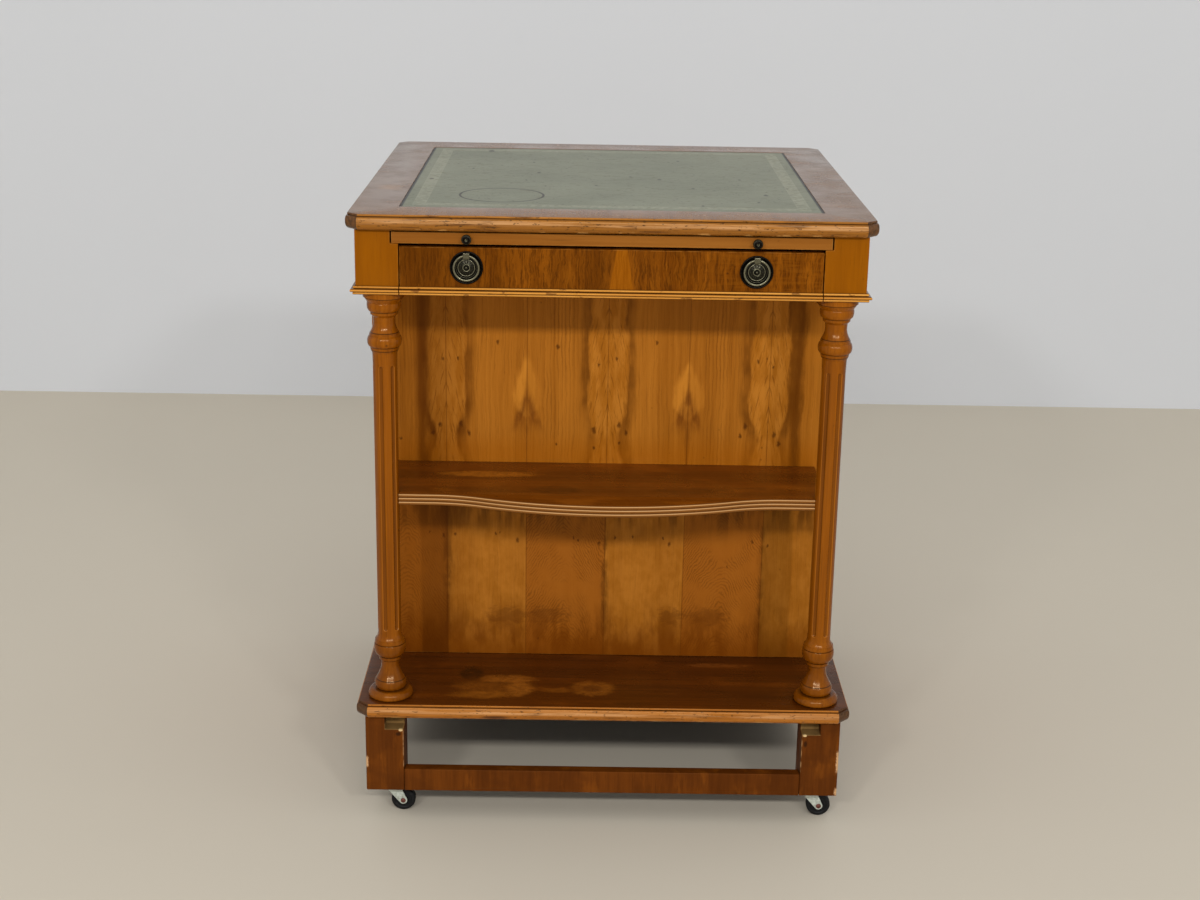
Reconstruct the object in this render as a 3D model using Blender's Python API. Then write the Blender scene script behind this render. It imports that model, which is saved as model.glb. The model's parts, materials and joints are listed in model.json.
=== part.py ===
"""Telephone cabinet: a square table-height cabinet on casters.

A leather-topped board rests on a frieze that holds a pull-out writing slide and a shallow
drawer. Two fluted columns stand in front of two open bays, a closed body stands behind the
bays, and an open plinth with swivel casters carries it all.

Metres, +Z up. The front looks along -Y, and the origin lies on the floor under the middle
of the whole plan.
"""

import math

import bmesh
import bpy
from mathutils import Matrix, Vector

# Overall plan and the stack of heights
TOP_WIDTH = 0.595
TOP_DEPTH = 0.598
BOARD_THICKNESS = 0.018
FRIEZE_HEIGHT = 0.074
BAY_HEIGHT = 0.500
PLINTH_HEIGHT = 0.100
BODY_SETBACK = 0.0103
BAY_DEPTH = 0.149

# Clearances
GLUE_GAP = 0.0003
PIN_GAP = 0.0003

# Moulded edge of the top board and of the bottom shelf
CORNER_CANT = 0.014
FILLET_INSET = 0.0025
FILLET_HEIGHT = 0.003
QUIRK_DEPTH = 0.0008
NOSE_TUCK = 0.005
NOSE_RISE = 0.007
NOSE_FLAT = 0.0025

# Leather inset
LEATHER_BORDER = 0.056
LEATHER_THICKNESS = 0.0012
LEATHER_SINK = 0.0002

# Frieze
BLOCK_SIZE = 0.0485
FRIEZE_THICKNESS = 0.018
DUST_BOARD_THICKNESS = 0.008
BEAD_HEIGHT = 0.010
BEAD_REACH = 0.0055
BEAD_STEP_LOW = 0.0027
BEAD_STEP_HIGH = 0.0033

# Writing slide and its knobs
SLIDE_THICKNESS = 0.0135
SLIDE_DEPTH = 0.430
SLIDE_TOP_GAP = 0.002
SLIDE_SIDE_GAP = 0.0017
SLOT_BITE = 0.0092
KNOB_FROM_END = 0.0842
KNOB_RADIUS = 0.00575
KNOB_LENGTH = 0.0125
KNOB_NECK_RADIUS = 0.0026
KNOB_SHANK_RADIUS = 0.0015
KNOB_SHANK_LENGTH = 0.010

# Drawer
DRAWER_DEPTH = 0.400
DRAWER_SIDE_GAP = 0.0012
DRAWER_TOP_GAP = 0.0035
DRAWER_FRONT_THICKNESS = 0.018
DRAWER_SIDE_THICKNESS = 0.012
DRAWER_BACK_THICKNESS = 0.010
DRAWER_BOTTOM_THICKNESS = 0.005
DRAWER_SIDE_DROP = 0.0087
DRAWER_STOP_GAP = 0.0008
GROOVE_DEPTH = 0.005
GROOVE_RISE = 0.004

# Ring pulls
PULL_FROM_END = 0.0751
PULL_RADIUS = 0.01875
PULL_RIM_HEIGHT = 0.0024
PULL_RIM_WIDTH = 0.0022
PULL_FIELD_HEIGHT = 0.0014
ROSETTE_RADIUS = 0.0095
ROSETTE_HEIGHT = 0.0028
BOSS_RADIUS = 0.004
BOSS_HEIGHT = 0.0045
BOLT_RADIUS = 0.002
BOLT_END = 0.005
RING_RADIUS = 0.0140
RING_WIRE_RADIUS = 0.0014
RING_GAP = 0.0005
LUG_WIDTH = 0.0070
LUG_WALL = 0.0010

# Columns
COLUMN_FROM_SIDE = 0.0292
COLUMN_FROM_FACE = 0.0228
SHAFT_RADIUS = 0.0139
BASE_RADIUS = 0.0272
CAPITAL_RADIUS = 0.0242
FLUTE_COUNT = 6
FLUTE_CUT_RADIUS = 0.003
FLUTE_DEPTH = 0.0016
FLUTE_TOP_MARGIN = 0.013
FLUTE_BOTTOM_MARGIN = 0.0045
FLUTE_TURN = {"left": math.radians(-11), "right": math.radians(30)}
FLARE_POWER = 1.8

# Column mouldings from the foot upwards: shape, height, reach beyond the shaft at foot and head
BASE_MEMBERS = (
    ("straight", 0.0006, 0.0102, 0.0102),
    ("rising_round", 0.0022, 0.0108, BASE_RADIUS - SHAFT_RADIUS),
    ("round", 0.0080, BASE_RADIUS - SHAFT_RADIUS, 0.0064),
    ("straight", 0.0004, 0.0056, 0.0036),
    ("bead", 0.0115, 0.0032, 0.0054),
    ("flare", 0.0192, 0.0037, -0.0031),
    ("straight", 0.0045, -0.0031, -0.0027),
    ("straight", 0.0014, -0.0024, -0.0010),
    ("straight", 0.0037, -0.0007, -0.0005),
    ("straight", 0.0015, -0.0012, -0.0008),
    ("rising_round", 0.0105, -0.0003, 0.0053),
    ("round", 0.0050, 0.0053, 0.0043),
    ("straight", 0.0010, 0.0034, 0.0034),
    ("straight", 0.0045, 0.0045, 0.0037),
    ("flare", 0.0081, 0.0030, 0.0000),
)
CAPITAL_MEMBERS = (
    ("straight", 0.0018, 0.0004, 0.0007),
    ("straight", 0.0024, 0.0009, 0.0020),
    ("straight", 0.0041, 0.0021, 0.0030),
    ("bead", 0.0130, 0.0028, 0.0060),
    ("straight", 0.0020, 0.0037, 0.0034),
    ("straight", 0.0018, 0.0029, 0.0026),
    ("flare", 0.0122, 0.0024, -0.0013),
    ("straight", 0.0060, -0.0013, -0.0010),
    ("straight", 0.0028, -0.0009, 0.0015),
    ("straight", 0.0034, 0.0018, 0.0022),
    ("rising_round", 0.0074, 0.0023, 0.0058),
    ("round", 0.0036, 0.0058, 0.0050),
    ("straight", 0.0048, 0.0053, 0.0083),
    ("straight", 0.0014, 0.0084, 0.0085),
    ("straight", 0.0058, 0.0100, CAPITAL_RADIUS - SHAFT_RADIUS),
)

# Middle shelf
SHELF_RISE = 0.258
SHELF_THICKNESS = 0.014
BELLY_REACH = 0.0054
SHELF_WAVE = 0.0345
WAVE_END_RUN = 0.053
HOLLOW_RADIUS = 0.176
REED_COUNT = 3
REED_DEPTH = 0.0012

# Body behind the bays
PANEL_THICKNESS = 0.012
BODY_SIDE_THICKNESS = 0.016
BODY_BACK_THICKNESS = 0.008

# Plinth
POST_SIZE = 0.046
RAIL_HEIGHT = 0.0285
RAIL_THICKNESS = 0.015
PLINTH_BOARD_THICKNESS = 0.018
NOTCH_WIDTH = 0.0225
NOTCH_HEIGHT = 0.0186
NOTCH_DEPTH = 0.018

# Casters
CASTER_INSET = 0.030
CASTER_TRAIL = 0.012
WHEEL_RADIUS = 0.015
WHEEL_WIDTH = 0.012
WHEEL_ROUND = 0.003
WHEEL_SIDE_GAP = 0.0006
WHEEL_TOP_GAP = 0.0008
HUB_RADIUS = 0.0075
HUB_RECESS = 0.001
AXLE_RADIUS = 0.002
AXLE_HEAD_RADIUS = 0.0032
AXLE_HEAD_HEIGHT = 0.001
FORK_THICKNESS = 0.0018
FORK_EYE_RADIUS = 0.005
RACE_RADIUS = 0.0095
RACE_HEIGHT = 0.0051
PLATE_SIZE = 0.030
PLATE_THICKNESS = 0.002
KING_PIN_RADIUS = 0.0025

# Fineness of round shapes
COLUMN_STEPS = 20
PULL_STEPS = 24
KNOB_STEPS = 16
WHEEL_STEPS = 20
CASTER_STEPS = 16
RING_STEPS = 24
WIRE_STEPS = 8
HOLE_STEPS = 12
SMOOTH_ANGLE = math.radians(35)

# Heights worked out from the sizes above
AXLE_HEIGHT = WHEEL_RADIUS * math.cos(math.pi / WHEEL_STEPS)
WEB_BOTTOM = 2 * AXLE_HEIGHT + WHEEL_TOP_GAP
WEB_TOP = WEB_BOTTOM + FORK_THICKNESS
RACE_TOP = WEB_TOP + RACE_HEIGHT
PLATE_BOTTOM = RACE_TOP + GLUE_GAP
PLATE_TOP = PLATE_BOTTOM + PLATE_THICKNESS
Z_PLINTH = PLATE_TOP + GLUE_GAP
Z_SHELF = Z_PLINTH + PLINTH_HEIGHT
Z_BAY = Z_SHELF + BOARD_THICKNESS
Z_FRIEZE = Z_BAY + BAY_HEIGHT
Z_TOP = Z_FRIEZE + FRIEZE_HEIGHT
Z_CROWN = Z_TOP + BOARD_THICKNESS

# Plan lines worked out from the sizes above
FRONT = (BELLY_REACH - TOP_DEPTH) / 2
BACK = FRONT + TOP_DEPTH
BOARD_MIDDLE = (FRONT + BACK) / 2
SIDE_FACE = TOP_WIDTH / 2 - BODY_SETBACK
FACE = FRONT + BODY_SETBACK
REAR = BACK - BODY_SETBACK
PANEL_FACE = FACE + BAY_DEPTH
PANEL_BACK = PANEL_FACE + PANEL_THICKNESS
BLOCK_INNER = SIDE_FACE - BLOCK_SIZE
BLOCK_BACK = FACE + BLOCK_SIZE
FRIEZE_INNER = SIDE_FACE - FRIEZE_THICKNESS
SLOT_HALF = BLOCK_INNER + SLOT_BITE
COLUMN_X = SIDE_FACE - COLUMN_FROM_SIDE
COLUMN_Y = FACE + COLUMN_FROM_FACE
POST_INNER = SIDE_FACE - POST_SIZE

# Levels inside the frieze
SLIDE_TOP = Z_TOP - SLIDE_TOP_GAP
SLIDE_BOTTOM = SLIDE_TOP - SLIDE_THICKNESS
SLOT_FLOOR = SLIDE_BOTTOM - GLUE_GAP
SLIDE_HALF = SLOT_HALF - SLIDE_SIDE_GAP
KNOB_LEVEL = (SLIDE_TOP + SLIDE_BOTTOM) / 2
KNOB_X = SLIDE_HALF - KNOB_FROM_END
DUST_TOP = Z_FRIEZE + DUST_BOARD_THICKNESS
DRAWER_TOP = SLIDE_BOTTOM - DRAWER_TOP_GAP
DRAWER_HALF = BLOCK_INNER - DRAWER_SIDE_GAP
DRAWER_BACK = FACE + DRAWER_DEPTH
DRAWER_FRONT_BACK = FACE + DRAWER_FRONT_THICKNESS
DRAWER_SIDE_BOTTOM = DUST_TOP + GLUE_GAP
DRAWER_SIDE_TOP = DRAWER_TOP - DRAWER_SIDE_DROP
DRAWER_SIDE_INNER = DRAWER_HALF - DRAWER_SIDE_THICKNESS
GROOVE_LOW = DRAWER_SIDE_BOTTOM + GROOVE_RISE
GROOVE_HIGH = GROOVE_LOW + DRAWER_BOTTOM_THICKNESS + 2 * GLUE_GAP
PULL_LEVEL = (Z_FRIEZE + BEAD_HEIGHT + DRAWER_TOP) / 2
PULL_X = DRAWER_HALF - PULL_FROM_END

# Ring pull depths, counted forwards from the drawer's face
PLATE_SEAT = GLUE_GAP
WIRE_DEPTH = PLATE_SEAT + PULL_RIM_HEIGHT + RING_GAP + RING_WIRE_RADIUS

SIDES = {"left": -1, "right": 1}

# Colour, roughness and metallic value of each finish
FINISHES = {
    "veneer_top": ((0.20, 0.085, 0.035), 0.35, 0.0),
    "leather": ((0.17, 0.19, 0.135), 0.6, 0.0),
    "honey": ((0.42, 0.19, 0.045), 0.4, 0.0),
    "slide_wood": ((0.34, 0.14, 0.035), 0.4, 0.0),
    "drawer_veneer": ((0.22, 0.085, 0.02), 0.35, 0.0),
    "bead_gold": ((0.50, 0.24, 0.06), 0.4, 0.0),
    "column_wood": ((0.30, 0.11, 0.018), 0.25, 0.0),
    "yew_panel": ((0.42, 0.18, 0.03), 0.35, 0.0),
    "shelf_wood": ((0.15, 0.055, 0.014), 0.35, 0.0),
    "plinth_wood": ((0.20, 0.07, 0.022), 0.45, 0.0),
    "raw_wood": ((0.48, 0.34, 0.19), 0.7, 0.0),
    "bronze": ((0.06, 0.05, 0.035), 0.4, 0.9),
    "zinc": ((0.62, 0.62, 0.59), 0.35, 1.0),
    "rivet_steel": ((0.24, 0.13, 0.08), 0.6, 0.8),
    "wheel_black": ((0.02, 0.02, 0.022), 0.4, 0.0),
}


# Building tools

def clear_scene():
    for obj in list(bpy.data.objects):
        bpy.data.objects.remove(obj, do_unlink=True)


def add_finish(obj, finish):
    color, roughness, metallic = FINISHES[finish]
    material = bpy.data.materials.new(obj.name + "_finish")
    material.use_nodes = True
    shader = material.node_tree.nodes["Principled BSDF"]
    shader.inputs["Base Color"].default_value = (*color, 1.0)
    shader.inputs["Roughness"].default_value = roughness
    shader.inputs["Metallic"].default_value = metallic
    obj.data.materials.append(material)


def add_object(name, bm, finish, location=(0, 0, 0), rotation=(0, 0, 0)):
    """Turns a bmesh into a named object with outward faces and its own finish."""
    bmesh.ops.recalc_face_normals(bm, faces=bm.faces[:])
    mesh = bpy.data.meshes.new(name)
    bm.to_mesh(mesh)
    bm.free()
    obj = bpy.data.objects.new(name, mesh)
    obj.location = location
    obj.rotation_euler = rotation
    bpy.context.scene.collection.objects.link(obj)
    if finish:
        add_finish(obj, finish)
    return obj


def board(name, finish, x, y, z):
    """A plain board between two limits on each axis."""
    limits = (x, y, z)
    middle = [(low + high) / 2 for low, high in limits]
    size = [high - low for low, high in limits]
    bm = bmesh.new()
    bmesh.ops.create_cube(bm, size=1.0)
    bmesh.ops.scale(bm, vec=size, verts=bm.verts[:])
    return add_object(name, bm, finish, location=middle)


def both_ways(inner, outer, sign):
    """The X limits of a piece between two distances from the middle, on one side."""
    return tuple(sorted((sign * inner, sign * outer)))


def prism(name, finish, outline, along, start, end):
    """An outline pushed from start to end. Along Z it is read as X, Y, and along Y as X, Z."""
    bm = bmesh.new()
    if along == "Z":
        points = [(u, v, start) for u, v in outline]
        push = (0, 0, end - start)
    else:
        points = [(u, start, v) for u, v in outline]
        push = (0, end - start, 0)
    face = bm.faces.new([bm.verts.new(point) for point in points])
    grown = bmesh.ops.extrude_face_region(bm, geom=[face])
    moved = [item for item in grown["geom"] if isinstance(item, bmesh.types.BMVert)]
    bmesh.ops.translate(bm, vec=push, verts=moved)
    return add_object(name, bm, finish)


def stacked(name, finish, rings):
    """A solid through rings of points that have the same count, closed at both ends."""
    bm = bmesh.new()
    loops = [[bm.verts.new(point) for point in ring] for ring in rings]
    for low, high in zip(loops, loops[1:]):
        for index in range(len(low)):
            after = (index + 1) % len(low)
            bm.faces.new((low[index], low[after], high[after], high[index]))
    bm.faces.new(loops[0][::-1])
    bm.faces.new(loops[-1])
    return add_object(name, bm, finish)


def turned(name, finish, profile, steps, closed=False, location=(0, 0, 0), facing_front=False):
    """Spins a profile of radius and height about Z, or about -Y when it faces the front.

    A flat of the round, not a corner, points along the turned piece's own Y axis.
    """
    bm = bmesh.new()
    points = [bm.verts.new((radius, 0, height)) for radius, height in profile]
    pairs = list(zip(points, points[1:]))
    if closed:
        pairs.append((points[-1], points[0]))
    edges = [bm.edges.new(pair) for pair in pairs]
    half_step = Matrix.Rotation(math.pi / steps, 3, "Z")
    bmesh.ops.rotate(bm, cent=(0, 0, 0), matrix=half_step, verts=bm.verts[:])
    bmesh.ops.spin(
        bm, geom=points + edges, cent=(0, 0, 0), axis=(0, 0, 1), angle=2 * math.pi,
        steps=steps, use_merge=True,
    )
    bmesh.ops.remove_doubles(bm, verts=bm.verts[:], dist=1e-6)
    rotation = (math.pi / 2, 0, 0) if facing_front else (0, 0, 0)
    obj = add_object(name, bm, finish, location=location, rotation=rotation)
    obj.data.shade_smooth()
    obj.data.set_sharp_from_angle(angle=SMOOTH_ANGLE)
    return obj


def rod(name, radius, start, end, steps=HOLE_STEPS, location=(0, 0, 0), facing_front=False):
    """A plain round cutter along its own Z axis, or along -Y when it faces the front."""
    profile = [(0, start), (radius, start), (radius, end), (0, end)]
    return turned(name, None, profile, steps, location=location, facing_front=facing_front)


def shape_with(obj, other, operation):
    """Cuts or joins another shape for good, and takes that other shape away."""
    other.hide_render = True
    other.display_type = "WIRE"
    modifier = obj.modifiers.new(operation.lower(), "BOOLEAN")
    modifier.operation = operation
    modifier.solver = "EXACT"
    modifier.object = other
    bpy.context.view_layer.update()
    graph = bpy.context.evaluated_depsgraph_get()
    shaped = bpy.data.meshes.new_from_object(obj.evaluated_get(graph))
    obj.modifiers.clear()
    obj.data = shaped
    bpy.data.objects.remove(other, do_unlink=True)


def copy_of(source, name, location, finish):
    """A second object on a shape that is already made, with its own finish."""
    obj = bpy.data.objects.new(name, source.data.copy())
    obj.location = Vector(location) + source.location
    obj.rotation_euler = source.rotation_euler
    bpy.context.scene.collection.objects.link(obj)
    obj.data.materials.clear()
    add_finish(obj, finish)
    return obj


def carriage(name, location, pieces):
    """An empty on a joint's axis that carries the pieces moving with it."""
    empty = bpy.data.objects.new(name, None)
    empty.location = location
    bpy.context.scene.collection.objects.link(empty)
    for piece in pieces:
        piece.parent = empty
        piece.matrix_parent_inverse = Matrix.Translation(location).inverted()
    return empty


def arc(middle, radii, start, end, steps):
    """Points on an elliptic arc, its angles in degrees."""
    points = []
    for step in range(steps + 1):
        angle = math.radians(start + (end - start) * step / steps)
        points.append((middle[0] + radii[0] * math.cos(angle), middle[1] + radii[1] * math.sin(angle)))
    return points


# Top board, leather and bottom shelf

def canted_outline(inset, z):
    """The boards' eight-cornered plan, drawn in evenly from the nose."""
    half_x = TOP_WIDTH / 2 - inset
    half_y = TOP_DEPTH / 2 - inset
    leg = CORNER_CANT - (2 - math.sqrt(2)) * inset
    corners = []
    for sign_x, sign_y in ((1, 1), (-1, 1), (-1, -1), (1, -1)):
        pair = [
            (sign_x * half_x, sign_y * (half_y - leg)),
            (sign_x * (half_x - leg), sign_y * half_y),
        ]
        corners += pair if sign_x == sign_y else pair[::-1]
    return [(x, BOARD_MIDDLE + y, z) for x, y in corners]


def moulded_board(name, finish, bottom):
    """A board with a fillet, a quirk and a thumb-moulded nose on all its edges."""
    quirk = BOARD_THICKNESS - FILLET_HEIGHT
    shoulder = NOSE_RISE + NOSE_FLAT
    under = arc((NOSE_TUCK, NOSE_RISE), (NOSE_TUCK, NOSE_RISE), 270, 180, 4)
    over = arc((FILLET_INSET, shoulder), (FILLET_INSET, quirk - shoulder), 180, 90, 4)
    profile = under + over
    profile += [(FILLET_INSET + QUIRK_DEPTH, quirk), (FILLET_INSET, quirk + QUIRK_DEPTH)]
    profile += [(FILLET_INSET, BOARD_THICKNESS)]
    return stacked(name, finish, [canted_outline(inset, bottom + z) for inset, z in profile])


def leather_limits(gap):
    x = TOP_WIDTH / 2 - LEATHER_BORDER + gap
    return (-x, x), (FRONT + LEATHER_BORDER - gap, BACK - LEATHER_BORDER + gap)


def build_boards():
    top = moulded_board("top_board", "veneer_top", Z_TOP)
    leather_top = Z_CROWN - LEATHER_SINK
    recess_floor = leather_top - LEATHER_THICKNESS - GLUE_GAP
    clear_above = Z_CROWN + LEATHER_THICKNESS
    recess = board("leather_recess", None, *leather_limits(GLUE_GAP), (recess_floor, clear_above))
    shape_with(top, recess, "DIFFERENCE")
    leather_z = (leather_top - LEATHER_THICKNESS, leather_top)
    board("leather_inset", "leather", *leather_limits(0), leather_z)
    moulded_board("bottom_shelf", "shelf_wood", Z_SHELF)


# Frieze

def slotted_section(sign, inner, outer, bottom):
    """The section of a block or bearer whose upper inner corner is cut away for the slide."""
    top = Z_TOP - GLUE_GAP
    points = [
        (inner, bottom), (outer, bottom), (outer, top),
        (SLOT_HALF, top), (SLOT_HALF, SLOT_FLOOR), (inner, SLOT_FLOOR),
    ]
    return [(sign * x, z) for x, z in points]


def bead_profile():
    """Three beads as reach from the face and height: small, large, small."""
    bead = BEAD_HEIGHT / 3
    round_off = bead / 2
    reaches = (BEAD_REACH - BEAD_STEP_LOW, BEAD_REACH, BEAD_REACH - BEAD_STEP_HIGH)
    points = [(0, 0)]
    for count, reach in enumerate(reaches):
        middle = (reach - round_off, (count + 0.5) * bead)
        points += arc(middle, (round_off, round_off), -80, 80, 4)
    return points + [(0, BEAD_HEIGHT)]


def build_beads():
    profile = bead_profile()
    seat = FACE - GLUE_GAP
    side_seat = SIDE_FACE + GLUE_GAP
    for side, sign in SIDES.items():
        mitre = [(sign * (side_seat + reach), seat - reach, Z_FRIEZE + z) for reach, z in profile]
        inner_end = [(sign * BLOCK_INNER, seat - reach, Z_FRIEZE + z) for reach, z in profile]
        stacked(f"bead_block_{side}", "bead_gold", [mitre, inner_end])
        side_front = [(x, y + GLUE_GAP, z) for x, y, z in mitre]
        side_back = [(x, REAR, z) for x, _, z in mitre]
        stacked(f"bead_side_{side}", "bead_gold", [side_front, side_back])
    ends = []
    for x in (-DRAWER_HALF, DRAWER_HALF):
        ends.append([(x, seat - reach, Z_FRIEZE + z) for reach, z in profile])
    return stacked("drawer_bead", "bead_gold", ends)


def build_frieze():
    standing = (Z_FRIEZE, Z_TOP - GLUE_GAP)
    back_inner = REAR - FRIEZE_THICKNESS
    for side, sign in SIDES.items():
        block = slotted_section(sign, BLOCK_INNER, SIDE_FACE, Z_FRIEZE)
        prism(f"frieze_block_{side}", "honey", block, "Y", FACE, BLOCK_BACK)
        board(
            f"frieze_side_{side}", "honey", both_ways(FRIEZE_INNER, SIDE_FACE, sign),
            (BLOCK_BACK + GLUE_GAP, REAR), standing,
        )
        bearer = slotted_section(sign, BLOCK_INNER, FRIEZE_INNER - GLUE_GAP, DUST_TOP + GLUE_GAP)
        prism(
            f"bearer_{side}", "raw_wood", bearer, "Y",
            BLOCK_BACK + GLUE_GAP, back_inner - GLUE_GAP,
        )
    inner = FRIEZE_INNER - GLUE_GAP
    board("frieze_back", "honey", (-inner, inner), (back_inner, REAR), standing)
    tongue = BLOCK_INNER - GLUE_GAP
    tongue_front = DRAWER_FRONT_BACK + DRAWER_STOP_GAP
    shoulder = BLOCK_BACK + GLUE_GAP
    right_half = [
        (tongue, tongue_front), (tongue, shoulder), (inner, shoulder),
        (inner, back_inner - GLUE_GAP),
    ]
    left_half = [(-x, y) for x, y in reversed(right_half)]
    prism("dust_board", "raw_wood", right_half + left_half, "Z", Z_FRIEZE, DUST_TOP)


# Writing slide

def knob_profile():
    """Collar, neck and mushroom head, counted forwards from the slide's edge."""
    head_back = KNOB_LENGTH / 2
    rim = (KNOB_LENGTH - head_back) / 2
    head = arc((0, head_back + rim), (KNOB_RADIUS, rim), -60, 90, 6)
    collar_radius = (KNOB_RADIUS + KNOB_NECK_RADIUS) / 2
    collar_top = GLUE_GAP + head_back / 3
    shank_end = -KNOB_SHANK_LENGTH
    shank = [(0, shank_end), (KNOB_SHANK_RADIUS, shank_end), (KNOB_SHANK_RADIUS, GLUE_GAP)]
    collar = [
        (collar_radius, GLUE_GAP), (collar_radius, collar_top), (KNOB_NECK_RADIUS, collar_top),
    ]
    return shank + collar + head[:-1] + [(0, KNOB_LENGTH)]


def build_slide():
    slide = board(
        "writing_slide", "slide_wood", (-SLIDE_HALF, SLIDE_HALF), (FACE, FACE + SLIDE_DEPTH),
        (SLIDE_BOTTOM, SLIDE_TOP),
    )
    pieces = [slide]
    for side, sign in SIDES.items():
        seat = (sign * KNOB_X, FACE, KNOB_LEVEL)
        hole_end = KNOB_SHANK_LENGTH + PIN_GAP
        hole = rod(
            "knob_hole", KNOB_SHANK_RADIUS + PIN_GAP, -hole_end, hole_end,
            location=seat, facing_front=True,
        )
        shape_with(slide, hole, "DIFFERENCE")
        knob = turned(
            f"slide_knob_{side}", "bronze", knob_profile(), KNOB_STEPS, location=seat,
            facing_front=True,
        )
        pieces.append(knob)
    carriage("slide_carriage", Vector((0, FACE, SLIDE_BOTTOM)), pieces)


# Drawer and its ring pulls

def drawer_side_section(sign):
    """A drawer side's section, grooved for the bottom."""
    groove = DRAWER_SIDE_INNER + GROOVE_DEPTH
    points = [
        (DRAWER_HALF, DRAWER_SIDE_BOTTOM), (DRAWER_HALF, DRAWER_SIDE_TOP),
        (DRAWER_SIDE_INNER, DRAWER_SIDE_TOP), (DRAWER_SIDE_INNER, GROOVE_HIGH),
        (groove, GROOVE_HIGH), (groove, GROOVE_LOW),
        (DRAWER_SIDE_INNER, GROOVE_LOW), (DRAWER_SIDE_INNER, DRAWER_SIDE_BOTTOM),
    ]
    return [(sign * x, z) for x, z in points]


def pull_profile():
    """A round backplate with rim, field, rosette, boss and bolt, counted forwards."""
    bolt_end = -(DRAWER_FRONT_THICKNESS + BOLT_END)
    rim_inner = PULL_RADIUS - PULL_RIM_WIDTH
    field = PLATE_SEAT + PULL_FIELD_HEIGHT
    rosette = PLATE_SEAT + ROSETTE_HEIGHT
    points = [(0, bolt_end), (BOLT_RADIUS, bolt_end), (BOLT_RADIUS, PLATE_SEAT)]
    points += [(PULL_RADIUS, PLATE_SEAT)]
    rim_middle = PULL_RADIUS - PULL_RIM_WIDTH / 2
    points += arc((rim_middle, field), (PULL_RIM_WIDTH / 2, PULL_RIM_HEIGHT - PULL_FIELD_HEIGHT), 0, 180, 4)
    points += [(ROSETTE_RADIUS, field), (ROSETTE_RADIUS - ROSETTE_HEIGHT / 2, rosette)]
    points += [(BOSS_RADIUS, rosette)]
    points += arc((0, rosette), (BOSS_RADIUS, BOSS_HEIGHT - ROSETTE_HEIGHT), 30, 60, 1)
    return points + [(0, PLATE_SEAT + BOSS_HEIGHT)]


def ring_mesh():
    """A round wire ring in the X, Z plane, hung from the origin."""
    bm = bmesh.new()
    wire = [bm.verts.new((x, 0, z)) for x, z in arc(
        (RING_RADIUS, 0), (RING_WIRE_RADIUS, RING_WIRE_RADIUS), 0, 360, WIRE_STEPS)[:-1]]
    edges = [bm.edges.new(pair) for pair in zip(wire, wire[1:] + wire[:1])]
    bmesh.ops.spin(
        bm, geom=wire + edges, cent=(0, 0, 0), axis=(0, 0, 1), angle=2 * math.pi,
        steps=RING_STEPS, use_merge=True,
    )
    bmesh.ops.rotate(bm, cent=(0, 0, 0), matrix=Matrix.Rotation(math.pi / 2, 3, "X"), verts=bm.verts[:])
    bmesh.ops.translate(bm, vec=(0, 0, -RING_RADIUS), verts=bm.verts[:])
    return bm


def build_pull(side, sign, drawer_front):
    """A backplate bolted through the drawer front, with a ring hung in its lug."""
    x = sign * PULL_X
    seat = (x, FACE, PULL_LEVEL)
    hole = rod(
        "bolt_hole", BOLT_RADIUS + PIN_GAP, -2 * DRAWER_FRONT_THICKNESS, DRAWER_FRONT_THICKNESS,
        location=seat, facing_front=True,
    )
    shape_with(drawer_front, hole, "DIFFERENCE")
    plate = turned(
        f"pull_plate_{side}", "bronze", pull_profile(), PULL_STEPS, location=seat,
        facing_front=True,
    )
    sag = RING_RADIUS - math.sqrt(RING_RADIUS ** 2 - (LUG_WIDTH / 2) ** 2)
    eye = RING_WIRE_RADIUS + sag + PIN_GAP
    pivot = (x, FACE - WIRE_DEPTH, PULL_LEVEL + RING_RADIUS)
    lug_reach = eye + LUG_WALL
    lug = board(
        "lug", None, (x - LUG_WIDTH / 2, x + LUG_WIDTH / 2),
        (pivot[1] - lug_reach, FACE - PLATE_SEAT - PULL_FIELD_HEIGHT / 2),
        (pivot[2] - lug_reach, pivot[2] + lug_reach),
    )
    shape_with(plate, lug, "UNION")
    eye_hole = rod("eye_hole", eye, -LUG_WIDTH, LUG_WIDTH, location=pivot)
    eye_hole.rotation_euler = (0, math.pi / 2, 0)
    shape_with(plate, eye_hole, "DIFFERENCE")
    ring = add_object(f"pull_ring_{side}", ring_mesh(), "bronze", location=pivot)
    ring.data.shade_smooth()
    return [plate, ring]


def build_drawer(bead):
    front = board(
        "drawer_front", "drawer_veneer", (-DRAWER_HALF, DRAWER_HALF), (FACE, DRAWER_FRONT_BACK),
        (Z_FRIEZE, DRAWER_TOP),
    )
    pieces = [front, bead]
    box_front = DRAWER_FRONT_BACK + GLUE_GAP
    for side, sign in SIDES.items():
        section = drawer_side_section(sign)
        pieces.append(prism(f"drawer_side_{side}", "raw_wood", section, "Y", box_front, DRAWER_BACK))
    back_half = DRAWER_SIDE_INNER - GLUE_GAP
    pieces.append(board(
        "drawer_back", "raw_wood", (-back_half, back_half),
        (DRAWER_BACK - DRAWER_BACK_THICKNESS, DRAWER_BACK), (GROOVE_HIGH, DRAWER_SIDE_TOP),
    ))
    bottom_half = DRAWER_SIDE_INNER + GROOVE_DEPTH - GLUE_GAP
    pieces.append(board(
        "drawer_bottom", "raw_wood", (-bottom_half, bottom_half), (box_front, DRAWER_BACK),
        (GROOVE_LOW + GLUE_GAP, GROOVE_HIGH - GLUE_GAP),
    ))
    for side, sign in SIDES.items():
        pieces += build_pull(side, sign, front)
    carriage("drawer_carriage", Vector((0, FACE, DUST_TOP)), pieces)


# Columns

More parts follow.
